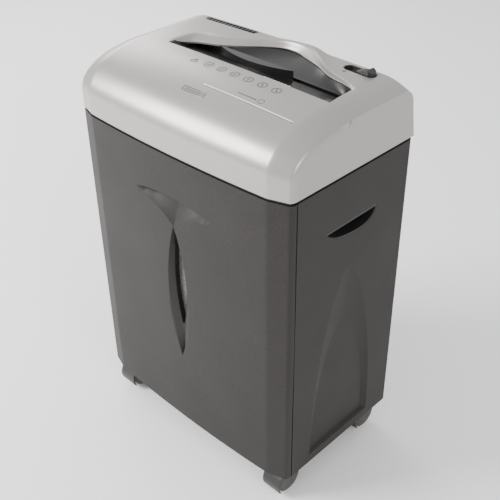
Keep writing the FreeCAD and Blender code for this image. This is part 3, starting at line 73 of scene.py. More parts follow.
@dataclass(frozen=True)
class Finish:
    """One finish: colour, gloss and grain of a moulded, painted or metal surface.

    Colours are linear.  grain_size is in millimetres, and depth is the height of its relief.
    """

    name: str
    colour: tuple[float, float, float]
    roughness: float = 0.4
    metallic: float = 0.0
    grain: Grain = Grain.SMOOTH
    grain_size: float = 0.8
    contrast: float = 0.1
    depth: float = 0.02
    coat: float = 0.0
    specular: float = 0.5
    alpha: float = 1.0

    def material(self) -> bpy.types.Material:
        """Make the node material, or return the one already made.

        Returns:
            The material with this finish's name.
        """
        known = bpy.data.materials.get(self.name)
        if known:
            return known
        made = bpy.data.materials.new(self.name)
        made.use_nodes = True
        nodes, links = made.node_tree.nodes, made.node_tree.links
        shader = nodes["Principled BSDF"]
        shader.inputs["Metallic"].default_value = self.metallic
        shader.inputs["Specular IOR Level"].default_value = self.specular
        shader.inputs["Coat Weight"].default_value = self.coat
        shader.inputs["Coat Roughness"].default_value = 0.06
        if self.alpha < 1.0:
            shader.inputs["Alpha"].default_value = self.alpha
        place = nodes.new("ShaderNodeTexCoord")
        stretch = nodes.new("ShaderNodeMapping")
        if self.grain is Grain.BRUSHED:
            stretch.inputs["Scale"].default_value = (0.06, 1.0, 1.0)
        links.new(place.outputs["Object"], stretch.inputs["Vector"])
        fine = nodes.new("ShaderNodeTexNoise")
        fine.inputs["Scale"].default_value = 1.0 / (self.grain_size * MM)
        fine.inputs["Detail"].default_value = 3.0
        links.new(stretch.outputs["Vector"], fine.inputs["Vector"])
        broad = nodes.new("ShaderNodeTexNoise")
        broad.inputs["Scale"].default_value = 14.0
        broad.inputs["Detail"].default_value = 2.0
        links.new(place.outputs["Object"], broad.inputs["Vector"])
        tint = nodes.new("ShaderNodeValToRGB")
        tint.color_ramp.elements[0].position = 0.32
        tint.color_ramp.elements[1].position = 0.68
        for element, share in zip(tint.color_ramp.elements, (1.0 - self.contrast, 1.0 + self.contrast)):
            element.color = tuple(min(1.0, c * share) for c in self.colour) + (1.0,)
        links.new(fine.outputs["Fac"], tint.inputs["Fac"])
        links.new(tint.outputs["Color"], shader.inputs["Base Color"])
        gloss = nodes.new("ShaderNodeMapRange")
        gloss.inputs["To Min"].default_value = max(0.02, self.roughness * 0.88)
        gloss.inputs["To Max"].default_value = min(1.0, self.roughness * 1.12)
        links.new(broad.outputs["Fac"], gloss.inputs["Value"])
        links.new(gloss.outputs["Result"], shader.inputs["Roughness"])
        bump = nodes.new("ShaderNodeBump")
        bump.inputs["Strength"].default_value = 0.35
        bump.inputs["Distance"].default_value = self.depth * MM
        links.new(fine.outputs["Fac"], bump.inputs["Height"])
        links.new(bump.outputs["Normal"], shader.inputs["Normal"])
        return made


SILVER = Finish("silver_paint", (0.36, 0.338, 0.325), 0.34, 0.55, Grain.FLAKE, 0.35, 0.10, 0.01)
CHARCOAL = Finish("charcoal_textured", (0.0165, 0.0142, 0.0132), 0.55, 0.0, Grain.SPECKLE, 0.9, 0.6,
                  0.05, specular=0.28)
GLOSS_BLACK = Finish("gloss_black", (0.003, 0.003, 0.0035), 0.2, 0.0, Grain.SMOOTH, 1.5, 0.10, 0.002,
                     0.0, specular=0.03)
SATIN_BLACK = Finish("satin_black", (0.012, 0.012, 0.012), 0.42, 0.0, Grain.SPECKLE, 0.6, 0.25, 0.03)
BIN_PLASTIC = Finish("bin_plastic", (0.035, 0.034, 0.034), 0.5, 0.0, Grain.SPECKLE, 1.2, 0.2, 0.04)
SMOKED = Finish("smoked_pane", (0.16, 0.15, 0.15), 0.24, 0.0, Grain.SMOOTH, 4.0, 0.12, 0.003, 0.3)
WHEEL = Finish("wheel_plastic", (0.045, 0.040, 0.040), 0.38, 0.0, Grain.SMOOTH, 1.0, 0.15, 0.01, 0.2)
PLATE = Finish("name_plate_foil", (0.30, 0.285, 0.275), 0.3, 0.5, Grain.BRUSHED, 0.3, 0.2, 0.005)
LENS = Finish("indicator_lens", (0.05, 0.035, 0.03), 0.15, 0.0, Grain.SMOOTH, 2.0, 0.1, 0.001, 0.5)
# The dark print also colours the painted shadow strip just in front of the front groove.
PRINT_DARK_AND_SHADOW = Finish("dark_print_and_painted_shadow", (0.03, 0.029, 0.028), 0.45, 0.0, Grain.SMOOTH, 0.5, 0.12, 0.001)
# The white print also colours the painted highlight strip along the front groove.
PRINT_WHITE_AND_HIGHLIGHT = Finish("white_print_and_painted_highlight", (0.80, 0.80, 0.80), 0.45, 0.0, Grain.SMOOTH, 0.5, 0.03, 0.001)
STEEL = Finish("cutter_steel", (0.42, 0.42, 0.43), 0.28, 1.0, Grain.BRUSHED, 0.3, 0.12, 0.01)
PLATE_STEEL = Finish("plate_steel", (0.50, 0.50, 0.50), 0.4, 1.0, Grain.BRUSHED, 0.4, 0.08, 0.01)
COMB = Finish("comb_plastic", (0.03, 0.03, 0.032), 0.45, 0.0, Grain.SPECKLE, 0.8, 0.2, 0.02)
BRASS = Finish("bushing_brass", (0.55, 0.37, 0.13), 0.3, 1.0, Grain.BRUSHED, 0.3, 0.1, 0.01)
NYLON = Finish("gear_nylon", (0.66, 0.64, 0.58), 0.45, 0.0, Grain.SMOOTH, 1.0, 0.05, 0.01)
GEAR_STEEL = Finish("gear_steel", (0.32, 0.31, 0.30), 0.35, 1.0, Grain.BRUSHED, 0.3, 0.12, 0.01)
SCREW = Finish("screw_steel", (0.5, 0.5, 0.51), 0.3, 1.0, Grain.BRUSHED, 0.2, 0.1, 0.005)
BOARD_GREEN = Finish("board_green", (0.02, 0.12, 0.05), 0.4, 0.0, Grain.SPECKLE, 1.5, 0.3, 0.01, 0.2)
BOARD_DARK = Finish("board_dark", (0.02, 0.02, 0.024), 0.35, 0.0, Grain.SMOOTH, 1.0, 0.15, 0.01)

PALE_FLOOR = Finish("pale_floor", (0.93, 0.93, 0.93), 0.7, 0.0, Grain.SMOOTH, 4.0, 0.01, 0.001)

SLOT_FINISH = {
    "silver_shell": SILVER, "charcoal_panel": CHARCOAL, "gloss_black": GLOSS_BLACK,
    "black_plastic": SATIN_BLACK,
    "bin_plastic": BIN_PLASTIC, "smoked_pane": SMOKED, "wheel_plastic": WHEEL, "plate_metal": PLATE,
    "lens": LENS,
    "cutter_steel": STEEL, "plate_steel": PLATE_STEEL, "comb_plastic": COMB, "bushing_brass": BRASS,
    "gear_nylon": NYLON, "gear_steel": GEAR_STEEL, "screw_steel": SCREW, "board_green": BOARD_GREEN,
    "board_dark": BOARD_DARK,
}


# ------------------------------------------------------------------ meshes

def ease(share: np.ndarray) -> np.ndarray:
    """Smooth step: 0 below 0, 1 above 1, 3t^2 - 2t^3 between."""
    held = np.clip(share, 0.0, 1.0)
    return held * held * (3.0 - 2.0 * held)


def spans(*stretches: tuple[float, float, int]) -> np.ndarray:
    """Stations along a line, a stretch at a time.

    Args:
        stretches: start, end and number of steps of each stretch, in order.

    Returns:
        The sorted stations, each once.
    """
    parts = [np.linspace(start, end, steps + 1) for start, end, steps in stretches]
    return np.unique(np.round(np.concatenate(parts), 5))


def smooth_line(points: list[tuple[float, float]], at: np.ndarray) -> np.ndarray:
    """Value of a smooth line through a few points, held level past its ends.

    Each stretch is the cubic with the slopes of the chords through its neighbours.

    Args:
        points: place and value of each point, in order of place.
        at: places where the value is wanted.

    Returns:
        The values.
    """
    place, value = np.array(points).T
    slope = np.gradient(value, place)
    slope[0] = slope[-1] = 0.0
    held = np.clip(at, place[0], place[-1])
    cell = np.clip(np.searchsorted(place, held) - 1, 0, len(place) - 2)
    width = place[cell + 1] - place[cell]
    t = (held - place[cell]) / width
    first = (1 + 2 * t) * (1 - t) ** 2 * value[cell] + t * (1 - t) ** 2 * width * slope[cell]
    return first + t * t * (3 - 2 * t) * value[cell + 1] + t * t * (t - 1) * width * slope[cell + 1]


def grid_quads(rows: int, columns: int, keep: np.ndarray | None = None) -> np.ndarray:
    """Quads of a grid of points stored row by row.

    Args:
        rows: number of rows of points.
        columns: number of points in a row.
        keep: for each cell, whether it is there; all of them if None.

    Returns:
        Four point numbers for each quad.
    """
    i, j = np.meshgrid(np.arange(rows - 1), np.arange(columns - 1), indexing="ij")
    corner = i * columns + j
    quads = np.stack([corner, corner + columns, corner + columns + 1, corner + 1], axis=-1)
    return quads.reshape(-1, 4) if keep is None else quads[keep]


def make_piece(name: str, points: np.ndarray, quads: np.ndarray, finish: Finish) -> bpy.types.Object:
    """Put a shape worked out in millimetres into a mesh in metres.

    Args:
        name: the piece's name.
        points: x, y and z of each point.
        quads: four point numbers for each face.
        finish: what it is made of.

    Returns:
        The new object, at the origin, with its doubles merged.
    """
    mesh = bpy.data.meshes.new(name)
    mesh.from_pydata((points.reshape(-1, 3) * MM).tolist(), [], quads.tolist())
    work = bmesh.new()
    work.from_mesh(mesh)
    bmesh.ops.remove_doubles(work, verts=work.verts, dist=0.02 * MM)
    bmesh.ops.dissolve_degenerate(work, edges=work.edges, dist=0.01 * MM)
    loose = [v for v in work.verts if not v.link_faces]
    bmesh.ops.delete(work, geom=loose, context="VERTS")
    work.to_mesh(mesh)
    work.free()
    piece = bpy.data.objects.new(name, mesh)
    bpy.context.scene.collection.objects.link(piece)
    mesh.materials.append(finish.material())
    mesh.shade_smooth()
    mesh.set_sharp_from_angle(angle=math.radians(32))
    return piece


def thicken(piece: bpy.types.Object, wall: float) -> None:
    """Give a sheet a wall behind its outer face; wall is in millimetres."""
    solidify = piece.modifiers.new("wall", "SOLIDIFY")
    solidify.thickness = wall * MM
    solidify.offset = -1.0


def round_edges(piece: bpy.types.Object, radius: float, angle: float = 38.0) -> None:
    """Round the sharp edges; radius is in millimetres and angle in degrees."""
    bevel = piece.modifiers.new("edges", "BEVEL")
    bevel.width = radius * MM
    bevel.segments = 2
    bevel.limit_method = "ANGLE"
    bevel.angle_limit = math.radians(angle)


def apply_modifiers(piece: bpy.types.Object) -> None:
    """Make the piece's modifiers part of its mesh."""
    shaped = bpy.data.meshes.new_from_object(piece.evaluated_get(bpy.context.evaluated_depsgraph_get()))
    shaped.name = piece.name
    piece.modifiers.clear()
    piece.data = shaped


def cut(piece: bpy.types.Object, tool: bpy.types.Object) -> None:
    """Cut a closed tool out of a closed piece and remove the tool."""
    boolean = piece.modifiers.new("cut", "BOOLEAN")
    boolean.operation = "DIFFERENCE"
    boolean.solver = "EXACT"
    boolean.object = tool
    apply_modifiers(piece)
    bpy.data.objects.remove(tool)


def prism(name: str, outline: np.ndarray, sweep: tuple[float, float, float],
          finish: Finish) -> bpy.types.Object:
    """Closed prism: an outline in space carried along a straight sweep, with flat ends.

    Args:
        name: the piece's name.
        outline: the outline's points, in order.
        sweep: how far it is carried, along each axis.
        finish: what it is made of.

    Returns:
        The prism, faces outwards.
    """
    count = len(outline)
    far = outline + np.array(sweep)
    near_ring, far_ring = np.arange(count), np.arange(count) + count
    mesh = bpy.data.meshes.new(name)
    sides = np.stack([near_ring, np.roll(near_ring, -1), np.roll(far_ring, -1), far_ring], axis=-1)
    faces = sides.tolist() + [near_ring[::-1].tolist(), far_ring.tolist()]
    mesh.from_pydata((np.concatenate([outline, far]) * MM).tolist(), [], faces)
    work = bmesh.new()
    work.from_mesh(mesh)
    bmesh.ops.recalc_face_normals(work, faces=work.faces)
    work.to_mesh(mesh)
    work.free()
    mesh.materials.append(finish.material())
    piece = bpy.data.objects.new(name, mesh)
    bpy.context.scene.collection.objects.link(piece)
    return piece


def stadium(centre: tuple[float, float], size: tuple[float, float], z: float, steps: int = 12) -> np.ndarray:
    """Outline of a plate with round ends in a level plane: two half circles joined by straights."""
    radius = size[1] / 2
    reach = size[0] / 2 - radius
    turn = np.linspace(-np.pi / 2, np.pi / 2, steps + 1)
    right = np.stack([centre[0] + reach + radius * np.cos(turn), centre[1] + radius * np.sin(turn)], axis=-1)
    left = np.stack([centre[0] - reach - radius * np.cos(turn), centre[1] - radius * np.sin(turn)], axis=-1)
    flat = np.concatenate([right, left])
    return np.concatenate([flat, np.full((len(flat), 1), z)], axis=1)


def report(piece: bpy.types.Object) -> None:
    """Say in the log what was made."""
    log.info("%s: %d faces", piece.name, len(piece.data.polygons))


# ------------------------------------------------------------------ plan outline

@dataclass(frozen=True)
class Plan:
    """Outline of the body seen from above: bowed front, faceted and turned front corners."""

    half: float
    front: float
    rear: float
    bow: float = 5.0
    facet_width: float = 26.0
    facet_setback: float = 8.6
    corner_width: float = 3.0
    corner_setback: float = 8.7

    def front_y(self, x: np.ndarray) -> np.ndarray:
        """Y of the front face at x.

        A parabola up to the facet, a straight facet, then a quarter turn of the corner.
        """
        away = np.abs(x)
        crease = self.half - self.corner_width
        start = crease - self.facet_width
        bowed = self.bow * np.minimum(away / start, 1.0) ** 2
        facet = self.facet_setback * np.clip((away - start) / self.facet_width, 0.0, 1.0)
        turn = np.clip((away - crease) / self.corner_width, 0.0, 1.0)
        corner = self.corner_setback * (0.35 * turn + 0.65 * (1.0 - np.sqrt(1.0 - turn ** 2 * 0.999)))
        return self.front + bowed + facet + corner

    @property
    def corner_y(self) -> float:
        """Y where the front corner meets the side."""
        return float(self.front_y(np.array([self.half]))[0])


# ------------------------------------------------------------------ head

@dataclass
class HeadShell:
    """Silver shell of the head with its swinging throat edge, vent, switch and trim openings."""

    plan: Plan
    bottom: float
    seam: float
    top: float
    upright: float = 24.0
    curve: float = 98.0
    power: float = 2.2
    crown: float = 3.0
    shoulder: float = 29.0
    shoulder_drop: float = 10.0
    rear_lean: float = 8.0
    rear_upright: float = 46.0
    rear_curve: float = 18.0
    wall: float = 2.5
    throat_left: float = -112.0
    throat_right: float = 150.0
    throat_front: float = -9.5
    throat_skew: float = 6.0
    skew_reach: float = 48.0
    skew_spread: float = 14.0
    skew_end: float = 110.0
    skew_fade: float = 40.0
    corner: float = 8.0
    edge_drop: float = 6.0
    ridge: float = 4.5
    ridge_x: float = 36.0
    ridge_spread: float = 44.0
    ridge_behind: float = 3.0
    ridge_width: float = 7.5
    rear_edge: list[tuple[float, float]] = field(default_factory=lambda: [
        (-112, 38), (-100, 43), (-80, 46), (-48, 58), (-20, 77), (4, 86), (28, 87), (48, 82.5),
        (68, 71), (92, 56.5),
        (118, 49), (150, 42)])
    black_edge: list[tuple[float, float]] = field(default_factory=lambda: [
        (-112, 2), (-107, 15), (-98, 24), (-85, 30), (-66, 37), (-44, 51), (-20, 70), (0, 81), (22, 82),
        (42, 76),
        (66, 68), (92, 55), (118, 48), (150, 40)])
    groove: tuple[float, float, float] = (8.0, 146.0, -62.3)
    groove_width: float = 1.5
    groove_depth: float = 1.1
    groove_fade: float = 2.5
    groove_pull: float = 20.0
    shoulder_power: float = 1.5

    def crest(self, x: np.ndarray) -> np.ndarray:
        """Height of the flat top at x: a slight parabolic crown, then a soft shoulder."""
        into = np.clip((np.abs(x) - self.plan.half + self.shoulder) / self.shoulder, 0.0, 1.0)
        fall = self.shoulder_drop * into ** self.shoulder_power
        return self.top - self.crown * (x / self.plan.half) ** 2 - fall

    def throat_near(self, x: np.ndarray) -> np.ndarray:
        """Y of the throat's straight front edge."""
        return np.full_like(x, self.throat_front)

    def throat_far(self, x: np.ndarray) -> np.ndarray:
        """Y of the black edge at the throat's rear, rounded into both ends."""
        right = np.clip((x - self.throat_right + self.corner) / self.corner, 0.0, 1.0)
        fall = self.corner * (1.0 - np.sqrt(1.0 - 0.98 * right ** 2))
        return smooth_line(self.black_edge, x) - 0.8 * fall

    def slope_top(self, x: np.ndarray) -> np.ndarray:
        """Y of the crest line behind the throat, where the silver slope begins."""
        return smooth_line(self.rear_edge, x)

    def rise(self, x: np.ndarray, y: np.ndarray) -> np.ndarray:
        """Height of the convex ridge behind the throat: a bell across and a bell along."""
        across = np.exp(-((y - self.slope_top(x) - self.ridge_behind) / self.ridge_width) ** 2)
        return self.ridge * np.exp(-((x - self.ridge_x) / self.ridge_spread) ** 2) * across

    def drop(self, x: np.ndarray) -> np.ndarray:
        """Depth of the black edge below the crest, less at both ends of the throat."""
        left = ease((x - self.throat_left + 1.5) / 7.0)
        right = ease((self.throat_right + 12.0 - x) / 60.0)
        return self.edge_drop * left * (0.3 + 0.7 * right) * ease((self.throat_right + 8.0 - x) / 12.0)

    def lean(self, x: np.ndarray, y: np.ndarray) -> np.ndarray:
        """How far the throat's slanted right end moves to the left at a place.

        Args:
            x: the place's X before it moves.
            y: the place's Y.

        Returns:
            The move, nothing away from the right end and past the rear of the throat.
        """
        across = self.throat_skew * np.clip((y - self.throat_front) / self.skew_reach, 0.0, 1.0)
        along = np.exp(-((x - self.throat_right) / self.skew_spread) ** 2)
        return along * across * ease((self.skew_end - y) / self.skew_fade)

    def stations_x(self) -> np.ndarray:
        """Stations along X, close together at the corners and the throat's ends."""
        half, left, right = self.plan.half, self.throat_left, self.throat_right
        end = self.corner * (1.0 - np.cos(np.linspace(0.0, np.pi / 2, 8)))
        lines = spans((-half, -half + 3, 6), (-half + 3, -half + 29, 12), (-half + 29, left, 10),
                      (left + 8, right - 8, 88), (right, half - 3, 12), (half - 3, half, 6))
        return np.unique(np.round(np.concatenate([lines, left + end, right - end]), 5))

    def nose_z(self, x: np.ndarray, away: np.ndarray) -> np.ndarray:
        """Height at a distance behind the front face.

        A superellipse quarter from the top of the upright to the crest.
        """
        knee = self.seam + self.upright
        share = np.clip(1.0 - away / self.curve, 0.0, 1.0)
        return knee + (self.crest(x) - knee) * (1.0 - share ** self.power) ** (1.0 / self.power)

    def groove_dent(self, x: np.ndarray, y: np.ndarray) -> np.ndarray:
        """Depth of the styling groove, full in its middle and nothing at its ends."""
        start, end, middle = self.groove
        inside = np.abs(y - middle) < self.groove_width / 2
        ends = ease((x - start) / self.groove_fade) * ease((end - x) / self.groove_fade)
        return self.groove_depth * inside * ends

    def surface(self) -> tuple[np.ndarray, np.ndarray]:
        """Outer skin as a grid of sections.

        Each station along X has the same run of lines: up the front, over the nose, across
        the top to the throat's front and rear edges, up the silver slope, over the ridge and
        down the rear.  The two end sections carry on down the sides to the bottom edge.

        Returns:
            The points by column and line, and which cells are there.
        """
        xs = self.stations_x()
        start = self.plan.front_y(xs)[:, None]
        x = xs[:, None]
        knee = self.seam + self.upright
        crest = self.crest(x)
        up = np.linspace(self.bottom, knee, 6)[None, :-1]
        front = (start + 0 * up, up + 0 * x)
        angle = np.linspace(0.0, np.pi / 2, 34)
        away = self.curve * (1.0 - np.cos(angle) ** (2.0 / self.power))
        middle = self.groove[2] - self.plan.front - 1.0
        away = away[np.abs(away - middle) > self.groove_width * 1.4]
        half = self.groove_width / 2
        trench = middle + np.array([-half - 0.3, -half, -half + 0.25, 0.0, half - 0.25, half, half + 0.3])
        away = np.sort(np.concatenate([away, trench]))[None, :]
        pull = np.exp(-((away - middle) / self.groove_pull) ** 2)
        away = away + pull * (self.groove[2] - start - middle)
        nose_y = start + away
        nose = (nose_y, self.nose_z(x, away) - self.groove_dent(x, nose_y + 0.0 * x))
        flat_from = start + self.curve
        near = np.maximum(self.throat_near(x), flat_from + 2.0)
        far = np.maximum(self.throat_far(x), near + 0.8)
        ridge = np.maximum(self.slope_top(x), far + 1.0)
        lead = np.linspace(0.0, 1.0, 4)[None, 1:]
        flat_y = flat_from + (near - flat_from) * lead
        across = np.linspace(0.0, 1.0, 15)[None, 1:]
        hole_y = near + (far - near) * across
        ramp = np.linspace(0.0, 1.0, 9)[None, 1:]
        slope_y = far + (ridge - far) * ramp
        drop, crest_rise = self.drop(x), self.rise(x, ridge)
        slope_z = crest - drop + (drop + crest_rise) * ease(ramp)
        tail_from = self.plan.rear - self.rear_lean - self.rear_curve
        rest = np.linspace(0.0, 1.0, 8)[None, 1:]
        back_y = ridge + (tail_from - ridge) * rest
        back_z = crest + self.rise(x, back_y)
        turn = np.linspace(0.0, np.pi / 2, 13)[None, 1:]
        tail_y = tail_from + self.rear_curve * np.sin(turn)
        knee_back = self.seam + self.rear_upright
        over = crest + self.rise(x, tail_from + 0 * x)
        tail_z = knee_back + (over - knee_back) * np.cos(turn)
        fall = np.linspace(0.0, 1.0, 6)[None, 1:]
        rear_y = self.plan.rear - self.rear_lean * (1.0 - fall)
        rear_z = knee_back + (self.bottom - knee_back) * fall
        flat_z = crest + 0 * flat_y
        hole_z = crest - drop * ease(across ** 2)
        ys = np.concatenate([front[0], nose[0], flat_y, hole_y, slope_y, back_y, tail_y + 0 * x,
                             rear_y + 0 * x], axis=1)
        zs = np.concatenate([front[1], nose[1], flat_z, hole_z, slope_z, back_z, tail_z,
                             rear_z + 0 * x], axis=1)
        lines = ys.shape[1]
        first_hole = front[0].shape[1] + nose[0].shape[1] + flat_y.shape[1] - 1
        last_hole = first_hole + hole_y.shape[1]
        px = x - self.lean(x, ys)
        points = np.stack([px, ys, zs], axis=-1)
        hole = np.zeros((len(xs) - 1, lines - 1), bool)
        inside = (xs[:-1] >= self.throat_left - 1e-3) & (xs[1:] <= self.throat_right + 1e-3)
        hole[np.ix_(inside, np.arange(first_hole, last_hole))] = True
        sides = []
        rises = front[0].shape[1]
        share = np.linspace(0.0, 1.0, rises + 1)[1:, None]
        for edge in (points[:1], points[-1:]):
            wall = np.repeat(edge, rises, axis=0)
            wall[..., 2] = self.bottom + (wall[..., 2] - self.bottom) * (1.0 - share)
            sides.append(wall)
        points = np.concatenate([sides[0][::-1], points, sides[1]])
        pad = np.zeros((rises, lines - 1), bool)
        pad[:, :rises] = True
        keep = ~np.concatenate([pad, hole, pad])
        return points, keep

    def build(self, vent: "VentGrille", switch: "Switch") -> bpy.types.Object:
        """Make the shell and cut its small openings.

        Args:
            vent: grille whose opening is cut.
            switch: switch whose openings are cut.

        Returns:
            The silver shell.
        """
        points, keep = self.surface()
        piece = make_piece("head_shell", points, grid_quads(*points.shape[:2], keep), SILVER)
        thicken(piece, self.wall)
        apply_modifiers(piece)
        low = self.seam + 30.0
        for centre, size in ((vent.centre, vent.size), (switch.centre, switch.size),
                             (switch.lens_centre, (2 * switch.lens_radius, 2 * switch.lens_radius))):
            tool = prism("tool", stadium(centre, size, low), (0.0, 0.0, 90.0), SILVER)
            cut(piece, tool)
        piece.data.shade_smooth()
        piece.data.set_sharp_from_angle(angle=math.radians(34))
        round_edges(piece, 0.7, 50.0)
        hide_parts("top_cover")
        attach(piece, "cabinet")
        report(piece)
        return piece

    def height(self, x: np.ndarray, y: np.ndarray) -> np.ndarray:
        """Height of the outer skin in front of the throat."""
        return self.nose_z(x, y - self.plan.front_y(x))


@dataclass
class ThroatInsert:
    """Gloss-black feed throat: front shelf, slot and scooped rear wall in one moulding."""

    shell: HeadShell
    depth: float = 16.0
    slot_front: float = 32.5
    slot_rear: float = 39.5
    slot_left: float = -97.0
    slot_right: float = 127.0
    tuck: float = 1.4
    lip: float = 1.6
    wall: float = 1.6
    shelf_power: float = 0.85

    def shelf_depth(self, y: np.ndarray) -> np.ndarray:
        """Depth of the shelf below the crest at y, in front of the slot."""
        start = self.shell.throat_front - self.tuck
        share = np.clip((y - start) / (self.slot_front - start), 0.0, 1.0)
        return self.lip + (self.depth - self.lip) * share ** self.shelf_power

    def build(self) -> bpy.types.Object:
        """Make the funnel.

        At each station along X the lines run from the front edge down a sloping shelf to the
        slot, and from the slot up a hollow curve to the black edge at the rear; the floor
        comes up to the rim at both ends.

        Returns:
            The insert.
        """
        shell = self.shell
        left, right = shell.throat_left, shell.throat_right
        xs = spans((left - self.tuck, left + 10, 10), (left + 10, right - 10, 84),
                   (right - 10, right + self.tuck, 10))
        x = np.clip(xs, left, right)[:, None]
        near = shell.throat_near(x) - self.tuck
        far = shell.throat_far(x) + self.tuck
        crest = shell.crest(x)
        slotted = ease((x - self.slot_left + 14.0) / 14.0) * ease((self.slot_right + 16.0 - x) / 14.0)
        first = near + 0.62 * (far - near)
        second = near + 0.80 * (far - near)
        first = first + (self.slot_front - first) * slotted
        second = second + (self.slot_rear - second) * slotted
        shelf = np.linspace(0.0, 1.0, 14)[None, :]
        gap = np.array([0.02, 0.5, 0.98])[None, :]
        wall = np.linspace(0.0, 1.0, 18)[None, :]
        ys = np.concatenate([near + (first - near) * shelf, first + (second - first) * gap,
                             second + (far - second) * wall], axis=1)
        inside = ((x > self.slot_left) & (x < self.slot_right)).astype(float)
        edge = shell.drop(x) + 1.2
        floor = self.depth
        front_depth = self.lip + (floor - self.lip) * shelf ** self.shelf_power
        slot_depth = floor + 9.0 * inside + 0 * gap
        rear_depth = floor + (edge - floor) * wall ** 1.7
        depth = np.concatenate([front_depth + 0 * x, slot_depth, rear_depth], axis=1)
        px = xs[:, None] - shell.lean(x, ys)
        ends = ease((xs[:, None] - left) / 9.0) * ease((right - xs[:, None]) / 7.0)
        rim = self.lip + (edge - self.lip) * np.clip((ys - near) / (far - near), 0.0, 1.0)
        depth = rim + (depth - rim) * ends
        points = np.stack([px, ys, crest - depth], axis=-1)
        piece = make_piece("throat_funnel", points, grid_quads(*points.shape[:2]), GLOSS_BLACK)
        thicken(piece, self.wall)
        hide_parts("throat_insert")
        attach(piece, "cabinet")
        report(piece)
        return piece


@dataclass
class VentGrille:
    """Place and size of the slotted grille at the rear of the head."""

    centre: tuple[float, float]
    size: tuple[float, float]


@dataclass
class Switch:
    """Place and size of the slide switch's cup and of its indicator."""

    centre: tuple[float, float]
    size: tuple[float, float]
    lens_centre: tuple[float, float]
    lens_radius: float


